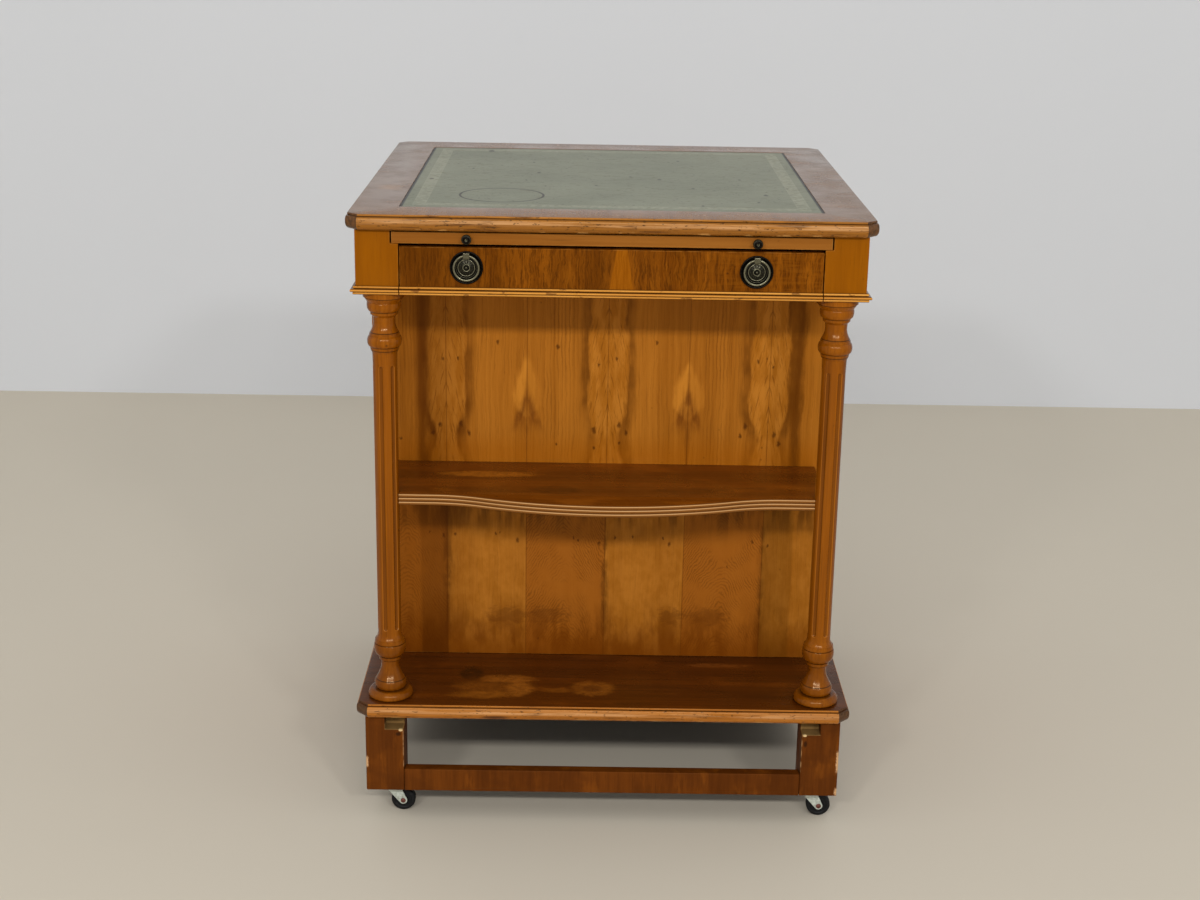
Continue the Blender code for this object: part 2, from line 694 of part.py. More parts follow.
def moulding_profile(members):
    """Points of radius and height through mouldings stacked from their foot upwards.

    A member gives its shape, its height, and how far its foot and its head reach beyond the
    shaft. A bead gives the reach of its crown instead of its head's.
    """
    points = []
    level = 0
    for shape, height, foot, head in members:
        low = SHAFT_RADIUS + foot
        high = SHAFT_RADIUS + head
        if shape == "straight":
            points += [(low, level), (high, level + height)]
        elif shape == "round":
            points += arc((high, level), (low - high, height), 0, 90, 3)
        elif shape == "rising_round":
            points += arc((low, level + height), (high - low, height), -90, 0, 3)
        elif shape == "flare":
            for share in (0, 0.2, 0.4, 0.65, 1):
                points.append((high + (low - high) * (1 - share) ** FLARE_POWER, level + height * share))
        else:
            points += arc((low, level + height / 2), (high - low, height / 2), -75, 75, 3)
        level += height
    return points


def flute_cutter(bottom, top):
    """One round-ended cutter for each flute, standing round the shaft."""
    bm = bmesh.new()
    distance = SHAFT_RADIUS + FLUTE_CUT_RADIUS - FLUTE_DEPTH
    for count in range(FLUTE_COUNT):
        angle = 2 * math.pi * count / FLUTE_COUNT
        made = bmesh.ops.create_uvsphere(bm, u_segments=8, v_segments=4, radius=FLUTE_CUT_RADIUS)
        upper = [vert for vert in made["verts"] if vert.co.z > 0]
        lower = [vert for vert in made["verts"] if vert.co.z <= 0]
        bmesh.ops.translate(bm, vec=(0, 0, top - FLUTE_CUT_RADIUS), verts=upper)
        bmesh.ops.translate(bm, vec=(0, 0, bottom + FLUTE_CUT_RADIUS), verts=lower)
        spot = (distance * math.sin(angle), -distance * math.cos(angle), 0)
        bmesh.ops.translate(bm, vec=spot, verts=made["verts"])
    return add_object("flute_cutter", bm, None)


def build_columns():
    height = BAY_HEIGHT - 2 * GLUE_GAP
    base = moulding_profile(BASE_MEMBERS)
    capital_height = sum(member[1] for member in CAPITAL_MEMBERS)
    shaft_top = height - capital_height
    capital = [(radius, shaft_top + level) for radius, level in moulding_profile(CAPITAL_MEMBERS)]
    profile = [(0, 0)] + base + capital + [(0, height)]
    for side, sign in SIDES.items():
        column = turned(f"column_{side}", "column_wood", profile, COLUMN_STEPS)
        cutter = flute_cutter(base[-1][1] + FLUTE_BOTTOM_MARGIN, shaft_top - FLUTE_TOP_MARGIN)
        shape_with(column, cutter, "DIFFERENCE")
        column.location = (sign * COLUMN_X, COLUMN_Y, Z_BAY + GLUE_GAP)
        column.rotation_euler = (0, 0, FLUTE_TURN[side])


# Middle shelf

def serpentine_half(offset):
    """The shelf's front from the middle to its right end, moved back by an offset.

    A full belly runs into a hollow, and the hollow into a straight run up to the column.
    """
    half = COLUMN_X - WAVE_END_RUN
    tilt = 2 * math.atan(SHELF_WAVE / half)
    belly_radius = half / math.sin(tilt) - HOLLOW_RADIUS
    belly_front = FRONT - BELLY_REACH
    tilt_degrees = math.degrees(tilt)
    belly_radii = (belly_radius - offset,) * 2
    belly = arc((0, belly_front + belly_radius), belly_radii, 270, 270 + tilt_degrees, 8)
    hollow_middle = (half, belly_front + SHELF_WAVE - HOLLOW_RADIUS)
    hollow_radii = (HOLLOW_RADIUS + offset,) * 2
    hollow = arc(hollow_middle, hollow_radii, 90 + tilt_degrees, 90, 5)
    return belly + hollow[1:] + [(COLUMN_X, belly_front + SHELF_WAVE + offset)]


def build_middle_shelf():
    top = Z_BAY + SHELF_RISE
    bottom = top - SHELF_THICKNESS
    reed_steps = 4
    levels = REED_COUNT * reed_steps
    rings = []
    for level in range(levels + 1):
        crest = math.sin(math.pi * (level % reed_steps) / reed_steps)
        right = serpentine_half(REED_DEPTH * (1 - crest))
        left = [(-x, y) for x, y in reversed(right[1:])]
        back = PANEL_FACE - GLUE_GAP
        outline = left + right + [(COLUMN_X, back), (-COLUMN_X, back)]
        z = bottom + SHELF_THICKNESS * level / levels
        rings.append([(x, y, z) for x, y in outline])
    shelf = stacked("middle_shelf", "shelf_wood", rings)
    notch_radius = (SHAFT_RADIUS + GLUE_GAP) / math.cos(math.pi / COLUMN_STEPS)
    for sign in SIDES.values():
        spot = (sign * COLUMN_X, COLUMN_Y, 0)
        notch = rod(
            "column_notch", notch_radius, bottom - SHELF_THICKNESS, top + SHELF_THICKNESS,
            steps=COLUMN_STEPS, location=spot,
        )
        shape_with(shelf, notch, "DIFFERENCE")


# Body behind the bays

def build_body():
    standing = (Z_BAY + GLUE_GAP, Z_FRIEZE - GLUE_GAP)
    panel_y = (PANEL_FACE, PANEL_BACK)
    board("bay_panel", "yew_panel", (-SIDE_FACE, SIDE_FACE), panel_y, standing)
    inner = SIDE_FACE - BODY_SIDE_THICKNESS
    for side, sign in SIDES.items():
        side_y = (PANEL_BACK + GLUE_GAP, REAR)
        board(f"body_side_{side}", "yew_panel", both_ways(inner, SIDE_FACE, sign), side_y, standing)
    back_half = inner - GLUE_GAP
    back_y = (REAR - BODY_BACK_THICKNESS, REAR)
    board("body_back", "yew_panel", (-back_half, back_half), back_y, standing)


# Plinth

def build_plinth():
    standing = (Z_PLINTH, Z_SHELF - GLUE_GAP)
    outer_inner = SIDE_FACE - PLINTH_BOARD_THICKNESS
    post_back = FACE + POST_SIZE
    rear_post_front = REAR - POST_SIZE
    for side, sign in SIDES.items():
        post_x = both_ways(POST_INNER, SIDE_FACE, sign)
        post = board(f"plinth_post_{side}", "plinth_wood", post_x, (FACE, post_back), standing)
        notch = board(
            "post_notch", None, both_ways(POST_INNER - NOTCH_WIDTH, POST_INNER + NOTCH_WIDTH, sign),
            (FACE - NOTCH_DEPTH, FACE + NOTCH_DEPTH), (Z_SHELF - NOTCH_HEIGHT, Z_SHELF + NOTCH_HEIGHT),
        )
        shape_with(post, notch, "DIFFERENCE")
        board(f"plinth_rear_post_{side}", "plinth_wood", post_x, (rear_post_front, REAR), standing)
        board(
            f"plinth_side_{side}", "plinth_wood", both_ways(outer_inner, SIDE_FACE, sign),
            (post_back + GLUE_GAP, rear_post_front - GLUE_GAP), standing,
        )
    rail_half = POST_INNER - GLUE_GAP
    rail_z = (Z_PLINTH, Z_PLINTH + RAIL_HEIGHT)
    board("plinth_rail", "plinth_wood", (-rail_half, rail_half), (FACE, FACE + RAIL_THICKNESS), rail_z)
    back_y = (REAR - PLINTH_BOARD_THICKNESS, REAR)
    board("plinth_back", "plinth_wood", (-rail_half, rail_half), back_y, standing)


# Casters

def fork_outline():
    """The fork's side, from the web over the swivel down to the round eye at the axle."""
    eye = arc((CASTER_TRAIL, AXLE_HEIGHT), (FORK_EYE_RADIUS, FORK_EYE_RADIUS), 215, 395, 8)
    return [(RACE_RADIUS, WEB_TOP), (-RACE_RADIUS, WEB_TOP)] + eye


def build_fork(name):
    inner = WHEEL_WIDTH / 2 + WHEEL_SIDE_GAP
    outer = inner + FORK_THICKNESS
    fork = prism(name, "zinc", fork_outline(), "Y", -outer, outer)
    reach = CASTER_TRAIL + 2 * WHEEL_RADIUS
    wheel_room = board("wheel_room", None, (-reach, reach), (-inner, inner), (-WEB_TOP, WEB_BOTTOM))
    shape_with(fork, wheel_room, "DIFFERENCE")
    race = rod("race", RACE_RADIUS - PIN_GAP, WEB_TOP - FORK_THICKNESS / 2, RACE_TOP, steps=CASTER_STEPS)
    shape_with(fork, race, "UNION")
    pin_hole = rod("pin_hole", KING_PIN_RADIUS + PIN_GAP, 0, PLATE_TOP)
    shape_with(fork, pin_hole, "DIFFERENCE")
    axle_hole = rod(
        "axle_hole", AXLE_RADIUS + PIN_GAP, -2 * outer, 2 * outer,
        location=(CASTER_TRAIL, 0, AXLE_HEIGHT), facing_front=True,
    )
    shape_with(fork, axle_hole, "DIFFERENCE")
    return fork


def build_plate(name):
    half = PLATE_SIZE / 2
    plate = board(name, "zinc", (-half, half), (-half, half), (PLATE_BOTTOM, PLATE_TOP))
    pin = rod("king_pin", KING_PIN_RADIUS, WEB_BOTTOM, PLATE_BOTTOM + PLATE_THICKNESS / 2)
    shape_with(plate, pin, "UNION")
    return plate


def axle_profile():
    """A rivet with a head on each side of the fork, about its own middle."""
    shoulder = WHEEL_WIDTH / 2 + WHEEL_SIDE_GAP + FORK_THICKNESS + GLUE_GAP
    end = shoulder + AXLE_HEAD_HEIGHT
    half = [(0, end), (AXLE_HEAD_RADIUS * 0.7, end), (AXLE_HEAD_RADIUS, shoulder), (AXLE_RADIUS, shoulder)]
    return half + [(radius, -height) for radius, height in reversed(half)]


def wheel_profile():
    """A wheel with a round-edged tread, dished hub faces and a bore."""
    half = WHEEL_WIDTH / 2
    bore = AXLE_RADIUS + PIN_GAP
    upper = [(bore, half - HUB_RECESS), (HUB_RADIUS, half - HUB_RECESS), (HUB_RADIUS + HUB_RECESS, half)]
    edge_middle = (WHEEL_RADIUS - WHEEL_ROUND, half - WHEEL_ROUND)
    upper += arc(edge_middle, (WHEEL_ROUND, WHEEL_ROUND), 90, 0, 2)
    return upper + [(radius, -height) for radius, height in reversed(upper)]


def build_casters():
    """Four swivel casters, all trailing to the right as they were left standing."""
    fork_model = build_fork("fork_model")
    plate_model = build_plate("plate_model")
    axle_model = turned("axle_model", "rivet_steel", axle_profile(), HOLE_STEPS, facing_front=True)
    wheel_model = turned(
        "wheel_model", "wheel_black", wheel_profile(), WHEEL_STEPS, closed=True, facing_front=True,
    )
    rows = {"front": FACE + CASTER_INSET, "rear": REAR - CASTER_INSET}
    for row, y in rows.items():
        for side, sign in SIDES.items():
            spot = f"{row}_{side}"
            x = sign * (SIDE_FACE - CASTER_INSET)
            copy_of(plate_model, f"caster_plate_{spot}", (x, y, 0), "zinc")
            copy_of(fork_model, f"caster_fork_{spot}", (x, y, 0), "zinc")
            axle_spot = (x + CASTER_TRAIL, y, AXLE_HEIGHT)
            copy_of(axle_model, f"caster_axle_{spot}", axle_spot, "rivet_steel")
            copy_of(wheel_model, f"caster_wheel_{spot}", axle_spot, "wheel_black")
    for model in (fork_model, plate_model, axle_model, wheel_model):
        bpy.data.objects.remove(model, do_unlink=True)


clear_scene()
build_boards()
build_frieze()
build_slide()
build_drawer(build_beads())
build_columns()
build_middle_shelf()
build_body()
build_plinth()
build_casters()
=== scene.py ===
# %% [markdown]
# This lesson dresses a telephone cabinet: a square table with a leather top, a writing slide, a drawer,
# two turned columns and a plinth on casters. The CAD model is loaded first and never moved. Every piece
# made below stands exactly where a CAD node is, so nothing has to be fitted by eye.

# %% The frame and its box
import json
import math

import bmesh
import bpy
from mathutils import Matrix, Vector


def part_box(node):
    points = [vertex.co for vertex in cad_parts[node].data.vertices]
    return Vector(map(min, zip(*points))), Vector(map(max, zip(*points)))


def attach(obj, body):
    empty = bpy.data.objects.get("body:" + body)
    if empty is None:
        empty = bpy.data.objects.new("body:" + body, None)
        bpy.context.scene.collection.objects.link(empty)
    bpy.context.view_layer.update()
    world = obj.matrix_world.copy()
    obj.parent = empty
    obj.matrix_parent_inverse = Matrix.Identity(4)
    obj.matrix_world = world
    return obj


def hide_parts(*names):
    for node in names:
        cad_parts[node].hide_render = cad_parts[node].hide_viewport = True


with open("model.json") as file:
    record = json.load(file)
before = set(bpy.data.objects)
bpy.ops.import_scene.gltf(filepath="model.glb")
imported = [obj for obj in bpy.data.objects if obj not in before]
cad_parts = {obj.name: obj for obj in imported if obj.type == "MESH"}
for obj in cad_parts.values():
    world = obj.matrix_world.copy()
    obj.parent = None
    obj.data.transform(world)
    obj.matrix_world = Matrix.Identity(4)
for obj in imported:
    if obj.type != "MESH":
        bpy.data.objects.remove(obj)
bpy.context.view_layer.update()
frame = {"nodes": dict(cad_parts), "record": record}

# %% [markdown]
# Each CAD node belongs to a body that moves as one. It could be typed out again for every piece, but the
# packed record already holds the bodies, so a small dictionary looks them up and no piece can ride on the
# wrong body. A second dictionary gives each side its sign.

# %% Bodies of the nodes
node_body = {}
for body, members in frame["record"]["behaviour"]["bodies"].items():
    for member in members:
        node_body[member] = body
SIDES = {"left": -1, "right": 1}

# %% [markdown]
# The photograph was taken standing in front of the cabinet, a little above its top, with the camera tipped
# down by seventeen degrees and leaning by one. Its lens and its place were worked out from the straight
# edges of the boards, so the camera is set from three plain vectors and no helper is needed.

# %% Camera
LENS = 55.16
SENSOR_WIDTH = 36
CAMERA_PLACE = Vector((-0.0256, -2.3107, 1.106))
CAMERA_ANGLES = (17.202, -1.013, 0.456)
pitch, roll, yaw = (math.radians(angle) for angle in CAMERA_ANGLES)

forward = Vector((math.sin(yaw) * math.cos(pitch), math.cos(yaw) * math.cos(pitch), -math.sin(pitch)))
level_right = Vector((math.cos(yaw), -math.sin(yaw), 0))
level_down = forward.cross(level_right)
right = math.cos(roll) * level_right + math.sin(roll) * level_down
down = math.cos(roll) * level_down - math.sin(roll) * level_right

camera = bpy.data.objects.new("camera", bpy.data.cameras.new("camera"))
camera.data.lens = LENS
camera.data.sensor_width = SENSOR_WIDTH
camera_turn = Matrix((right, -down, -forward)).transposed().to_4x4()
camera.matrix_world = Matrix.Translation(CAMERA_PLACE) @ camera_turn
bpy.context.scene.collection.objects.link(camera)
bpy.context.scene.camera = camera
print("camera looks along", [round(part, 3) for part in forward])

# %% [markdown]
# A node tree is easier to read as a few calls than as dozens of lines that make and link nodes. This small
# helper adds one node at a time, takes either a number or another node's socket for each input, and hands
# back the socket to build on. It holds nothing that Blender's own node editor couldn't do by hand.

# %% A bench for node trees
class Bench:
    def __init__(self, tree):
        self.tree = tree

    def add(self, kind, inputs=None, **settings):
        made = self.tree.nodes.new(kind)
        for key, setting in settings.items():
            setattr(made, key, setting)
        for key, source in (inputs or {}).items():
            if isinstance(source, bpy.types.NodeSocket):
                self.tree.links.new(source, made.inputs[key])
            else:
                made.inputs[key].default_value = source
        return made

    def reckon(self, operation, first, second=0.0, third=0.0):
        return self.add("ShaderNodeMath", {0: first, 1: second, 2: third}, operation=operation).outputs[0]

    def times(self, first, *others):
        for other in others:
            first = self.reckon("MULTIPLY", first, other)
        return first

    def most(self, first, *others):
        """The largest of several masks at each place."""
        for other in others:
            first = self.reckon("MAXIMUM", first, other)
        return first

    def less(self, value, other):
        return self.reckon("SUBTRACT", value, other)

    def off(self, value, middle):
        """How far a value is from a middle, to either side."""
        return self.reckon("ABSOLUTE", self.less(value, middle))

    def swing(self, noise, height):
        """Noise between 0 and 1 turned into a sway about 0, of a full height."""
        return self.reckon("MULTIPLY_ADD", noise, height, -height / 2)

    def length(self, vector):
        return self.add("ShaderNodeVectorMath", {0: vector}, operation="LENGTH").outputs["Value"]

    def fade(self, value, low, high):
        """Rises smoothly from 0 at low to 1 at high, or falls where low is the larger."""
        limits = {"Value": value, "From Min": low, "From Max": high}
        return self.add("ShaderNodeMapRange", limits, interpolation_type="SMOOTHSTEP").outputs[0]

    def hump(self, value, middle, reach):
        """1 at the middle, falling smoothly to 0 at that reach to either side."""
        return self.fade(self.off(value, middle), reach, 0.0)

    def noise(self, place, scale, detail=2.0, roughness=0.5, distortion=0.0):
        inputs = {"Vector": place, "Scale": scale, "Detail": detail}
        inputs.update({"Roughness": roughness, "Distortion": distortion})
        return self.add("ShaderNodeTexNoise", inputs).outputs[0]

    def stretch(self, place, scale, turn=(0, 0, 0)):
        return self.add("ShaderNodeMapping", {"Vector": place, "Rotation": turn, "Scale": scale}).outputs[0]

    def clouds(self, place, scale, low, high, detail=3.0):
        """Noise drawn out by a scale on each axis, cut to a mask between two levels."""
        return self.fade(self.noise(self.stretch(place, scale), 1.0, detail, 0.6), low, high)

    def cells(self, place, scale):
        """The distance from the nearest of many points strewn about."""
        return self.add("ShaderNodeTexVoronoi", {"Vector": place, "Scale": scale}).outputs["Distance"]

    def mix(self, factor, first, second):
        inputs = {0: factor, 6: first, 7: second}
        return self.add("ShaderNodeMix", inputs, data_type="RGBA").outputs[2]

    def shade(self, colour, mask, strength, other):
        """Lays another colour over the first where a mask says so, at some strength."""
        return self.mix(self.reckon("MULTIPLY", mask, strength), colour, other)

    def patch(self, flat, middle, reach, ragged, outside=1.2, inside=0.2):
        """An oval spot on two coordinates, its edge broken by noise of the given height."""
        away = ragged
        for value, centre, size in zip(flat, middle, reach):
            share = self.reckon("DIVIDE", self.less(value, centre), size)
            away = self.reckon("MULTIPLY_ADD", share, share, away)
        return self.fade(away, outside, inside)

    def split(self, place):
        return self.add("ShaderNodeSeparateXYZ", {0: place}).outputs

    def join(self, x, y, z):
        return self.add("ShaderNodeCombineXYZ", {0: x, 1: y, 2: z}).outputs[0]

    def attribute(self, name):
        return self.add("ShaderNodeAttribute", attribute_name=name).outputs["Fac"]

    def group(self, tree, inputs):
        return self.add("ShaderNodeGroup", inputs, node_tree=tree).outputs

    def link(self, source, socket):
        self.tree.links.new(source, socket)


print("a bench has", len([call for call in vars(Bench) if not call.startswith("_")]), "calls")

# %% [markdown]
# Colours are written as a screen shows them, from 0 to 255, because they are easy to picture that way.
# Shaders reckon in linear light, so a small function turns one into the other.


# %% Colours
def tint(red, green, blue):
    """A colour as a screen shows it, 0 to 255, turned into the linear values that shaders use."""
    parts = []
    for part in (red, green, blue):
        share = part / 255
        parts.append(share / 12.92 if share < 0.04045 else ((share + 0.055) / 1.055) ** 2.4)
    return (*parts, 1.0)


def darkened(colour, share):
    return tuple(part * share for part in colour[:3]) + (1.0,)


print("a mid grey of 188 is", round(tint(188, 188, 188)[0], 3), "in linear light")

# %% [markdown]
# The cabinet stands in a pale hall, with a plain floor in the tone of light boards and a white wall behind
# it. Both are large flat grids with a soft cloud of noise in their colour. They are see-through from their
# backs, for looks from behind.

# %% Floor and wall
STAGE_HALF = 6.0
WALL_BEHIND = 1.64
FLOOR_COLOUR = (0.64, 0.575, 0.465, 1)
WALL_COLOUR = (0.715, 0.73, 0.755, 1)


def stage_plane(name, turn, place, colour, spread):
    bm = bmesh.new()
    bmesh.ops.create_grid(bm, x_segments=1, y_segments=1, size=STAGE_HALF)
    bmesh.ops.rotate(bm, matrix=Matrix.Rotation(math.radians(turn), 3, "X"), verts=bm.verts[:])
    bmesh.ops.translate(bm, vec=place, verts=bm.verts[:])
    mesh = bpy.data.meshes.new(name)
    bm.to_mesh(mesh)
    bm.free()
    plane = bpy.data.objects.new(name, mesh)
    bpy.context.scene.collection.objects.link(plane)
    material = bpy.data.materials.new(name)
    material.use_nodes = True
    bench = Bench(material.node_tree)
    shader = bench.tree.nodes["Principled BSDF"]
    shader.inputs["Roughness"].default_value = 0.7
    spot = bench.add("ShaderNodeTexCoord").outputs["Object"]
    cloud = bench.noise(spot, 1.3, 3)
    bench.link(bench.mix(cloud, darkened(colour, spread), colour), shader.inputs["Base Color"])
    behind = bench.add("ShaderNodeNewGeometry").outputs["Backfacing"]
    clear = bench.add("ShaderNodeBsdfTransparent").outputs[0]
    either = bench.add("ShaderNodeMixShader", {0: behind, 1: shader.outputs[0], 2: clear})
    bench.link(either.outputs[0], bench.tree.nodes["Material Output"].inputs["Surface"])
    plane.data.materials.append(material)


stage_plane("floor", 0, (0, WALL_BEHIND - STAGE_HALF, 0), FLOOR_COLOUR, 0.94)
stage_plane("wall", 90, (0, WALL_BEHIND, STAGE_HALF), WALL_COLOUR, 0.96)
print("wall", WALL_BEHIND, "m behind the middle")

# %% [markdown]
# The lamps hang high up in front. Every turned round of the columns shows two bright dots with a faint line
# between them, so there is one long, dim lamp and a small, brighter one at each side. A pale sky all round
# fills the shadows.

# %% Lamps and sky
LAMPS = ((-1.5, 0.45, 30), (0.0, 2.0, 44), (1.5, 0.45, 30))
LAMP_TALL = 0.22
LAMP_AHEAD = 3.9
LAMP_HEIGHT = 2.45
LAMP_AIM = Vector((0, -0.1, 0.4))
SKY_COLOUR = (0.98, 0.99, 1.0, 1)
SKY_STRENGTH = 0.70
for number, (x, width, watts) in enumerate(LAMPS):
    lamp = bpy.data.objects.new(f"lamp_{number}", bpy.data.lights.new(f"lamp_{number}", "AREA"))
    lamp.data.shape = "RECTANGLE"
    lamp.data.size = width
    lamp.data.size_y = LAMP_TALL
    lamp.data.energy = watts
    lamp.location = (x, -LAMP_AHEAD, LAMP_HEIGHT)
    lamp.rotation_mode = "QUATERNION"
    lamp.rotation_quaternion = (LAMP_AIM - lamp.location).to_track_quat("-Z", "Y")
    bpy.context.scene.collection.objects.link(lamp)

world = bpy.data.worlds.new("hall")
world.use_nodes = True
sky = world.node_tree.nodes["Background"].inputs
sky["Color"].default_value = SKY_COLOUR
sky["Strength"].default_value = SKY_STRENGTH
bpy.context.scene.world = world
bpy.context.scene.view_settings.view_transform = "Standard"
print(len(LAMPS), "lamps at", LAMP_HEIGHT, "m")

# %% [markdown]
# Effects that many finishes share are node groups, built once. The first is wood grain: fine fibres, wider
# bands and thin dark pores, all drawn out along the group's Z axis. A wood picture could be wrapped round
# each board instead, but noise in space runs through a board as real grain does and has no seams.


# %% Shared effect: wood grain
def new_group(name, inputs, outputs):
    tree = bpy.data.node_groups.new(name, "ShaderNodeTree")
    for socket, start in inputs.items():
        kind = "NodeSocketVector" if start is None else "NodeSocketFloat"
        made = tree.interface.new_socket(name=socket, in_out="INPUT", socket_type=kind)
        if start is not None:
            made.default_value = start
    for socket in outputs:
        tree.interface.new_socket(name=socket, in_out="OUTPUT", socket_type="NodeSocketFloat")
    bench = Bench(tree)
    return tree, bench, bench.add("NodeGroupInput").outputs, bench.add("NodeGroupOutput").inputs


GRAIN, bench, given, result = new_group(
    "wood_grain", {"Place": None, "Across": 380.0, "Along": 9.0}, ("Fibre", "Bands", "Pores"))
size = bench.join(given["Across"], given["Across"], given["Along"])
drawn_out = bench.add("ShaderNodeVectorMath", {0: given["Place"], 1: size}, operation="MULTIPLY").outputs[0]
bench.link(bench.fade(bench.noise(drawn_out, 1.0, 4, 0.65), 0.30, 0.70), result["Fibre"])
bench.link(bench.fade(bench.noise(drawn_out, 0.13, 3, 0.5, 0.7), 0.30, 0.70), result["Bands"])
bench.link(bench.fade(bench.noise(bench.stretch(drawn_out, (2.2, 2.2, 1.1)), 1.0, 2), 0.63, 0.73),
           result["Pores"])
print("group", GRAIN.name, [socket.name for socket in GRAIN.interface.items_tree])

# %% [markdown]
# The second shared effect is edge wear. Every board's arrises are eased, and the new narrow faces carry an
# attribute named arris. Where the polish has been knocked off, pale wood shows: the group breaks the
# attribute up with noise, so wear comes in patches and not as a drawn line.

# %% Shared effect: worn edges
WEAR, bench, given, result = new_group("worn_edges", {"Place": None, "Arris": 0.0, "Size": 70.0}, ("Mask",))
patches = bench.fade(bench.noise(given["Place"], given["Size"], 3, 0.6), 0.40, 0.62)
bench.link(bench.reckon("MULTIPLY", patches, given["Arris"]), result["Mask"])
print("group", WEAR.name, "ready")

# %% [markdown]
# The third is handling: an old polish is rubbed dull in patches and has small dark knocks. The two come out
# separately, so that one can steer the gloss and the other the colour, and a back board can show fainter
# knocks than a table top.

# %% Shared effect: handling marks
MARKS, bench, given, result = new_group("handling_marks", {"Place": None, "Size": 1.0}, ("Rub", "Knocks"))
scaled = bench.add("ShaderNodeVectorMath", {0: given["Place"], "Scale": given["Size"]},
                   operation="SCALE").outputs[0]
bench.link(bench.fade(bench.noise(scaled, 16, 4, 0.6), 0.32, 0.68), result["Rub"])
dots = bench.fade(bench.cells(scaled, 62.0), 0.13, 0.05)
chosen = bench.fade(bench.noise(scaled, 23, 1), 0.56, 0.66)
bench.link(bench.times(dots, chosen), result["Knocks"])
print("group", MARKS.name, "ready")

# %% [markdown]
# Veneer is sawn in thin leaves, and turning over every second leaf makes the figure run in mirrored pairs.
# A ping-pong of the distance across the panel does just that, so this group hands out the folded distance
# and tells odd leaves from even ones. A second group puts one dark pip, a small knot, at a given spot.

# %% Shared effects: matched leaves and pips
LEAVES, bench, given, result = new_group(
    "matched_leaves", {"Across": 0.0, "Width": 0.099}, ("Folded", "Odd"))
bench.link(bench.reckon("PINGPONG", given["Across"], given["Width"]), result["Folded"])
number = bench.reckon("FLOOR", bench.reckon("DIVIDE", given["Across"], given["Width"]))
bench.link(bench.reckon("PINGPONG", number, 1.0), result["Odd"])

PIP, bench, given, result = new_group(
    "pip_knot", {"Across": 0.0, "Up": 0.0, "Spot Across": 0.0, "Spot Up": 0.0, "Radius": 0.002}, ("Mask",))
aside = bench.less(given["Across"], given["Spot Across"])
above = bench.times(bench.less(given["Up"], given["Spot Up"]), 0.6)
away = bench.reckon("POWER", bench.reckon("ADD", bench.times(aside, aside), bench.times(above, above)), 0.5)
bench.link(bench.fade(bench.reckon("DIVIDE", away, given["Radius"]), 1.0, 0.25), result["Mask"])
print("groups", LEAVES.name, "and", PIP.name, "ready")

# %% [markdown]
# Most boards share one kind of finish: grain between a pale and a dark tone, pores, worn arrises and an
# uneven polish. It is put together from small functions, so a finish that needs more can use those and add
# its own marks between them.

# %% Parts of a wood finish
GRAIN_TURN = {"X": (0, -math.pi / 2, 0), "Y": (math.pi / 2, 0, 0), "Z": (0, 0, 0)}
WARM = (1.0, 0.72, 0.42, 1.0)
FIBRE_SHARE = 0.42
PORE_DEPTH = 0.42


def new_finish(name, **sockets):
    material = bpy.data.materials.new(name)
    material.use_nodes = True
    bench = Bench(material.node_tree)
    shader = bench.tree.nodes["Principled BSDF"]
    for socket, value in sockets.items():
        shader.inputs[socket.replace("_", " ")].default_value = value
    place = bench.add("ShaderNodeTexCoord").outputs["Object"]
    return material, bench, place, shader.inputs


def roughen(bench, shader, height, strength, depth):
    bump = bench.add("ShaderNodeBump", {"Height": height, "Strength": strength, "Distance": depth})
    bench.link(bump.outputs[0], shader["Normal"])


def set_gloss(bench, shader, value, rough):
    gloss = bench.add("ShaderNodeMapRange", {"Value": value, "To Min": rough[0], "To Max": rough[1]})
    bench.link(gloss.outputs[0], shader["Roughness"])


def wood_tones(bench, place, along, pale, dark, across=380.0, run=9.0, pores=0.5):
    """Colour and fibre height of a plain wood whose grain runs along one axis."""
    turned_place = bench.stretch(place, (1, 1, 1), GRAIN_TURN[along])
    grain = bench.group(GRAIN, {"Place": turned_place, "Across": across, "Along": run})
    bands = bench.times(grain["Bands"], 1 - FIBRE_SHARE)
    share = bench.reckon("MULTIPLY_ADD", grain["Fibre"], FIBRE_SHARE, bands)
    colour = bench.shade(bench.mix(share, dark, pale), grain["Pores"], pores, darkened(dark, PORE_DEPTH))
    return colour, grain["Fibre"]


def wear_and_polish(bench, place, shader, colour, fibre, worn, wear=0.8, rough=(0.3, 0.5), marks=1.0):
    """Adds worn arrises, knocks and an uneven polish, and links colour, roughness and relief."""
    edge = bench.group(WEAR, {"Place": place, "Arris": bench.attribute("arris")})["Mask"]
    handled = bench.group(MARKS, {"Place": place})
    colour = bench.shade(colour, edge, wear, worn)
    bench.link(bench.shade(colour, handled["Knocks"], 0.6 * marks, tint(46, 20, 4)), shader["Base Color"])
    set_gloss(bench, shader, handled["Rub"], rough)
    roughen(bench, shader, fibre, 0.12, 0.0002)


print("grain can run along", list(GRAIN_TURN))

# %% [markdown]
# The plainest boards need nothing more: the honey-coloured veneer of the frieze, the slide, and the raw wood
# in and about the drawer, which was never polished. One function makes each from its own colours and grain
# direction.


# %% Plain wood finishes
def plain_wood(name, along, pale, dark, worn, grain=None, **polish):
    material, bench, place, shader = new_finish(name, Specular_IOR_Level=0.1, Specular_Tint=WARM)
    colour, fibre = wood_tones(bench, place, along, pale, dark, **(grain or {}))
    wear_and_polish(bench, place, shader, colour, fibre, worn, **polish)
    return material


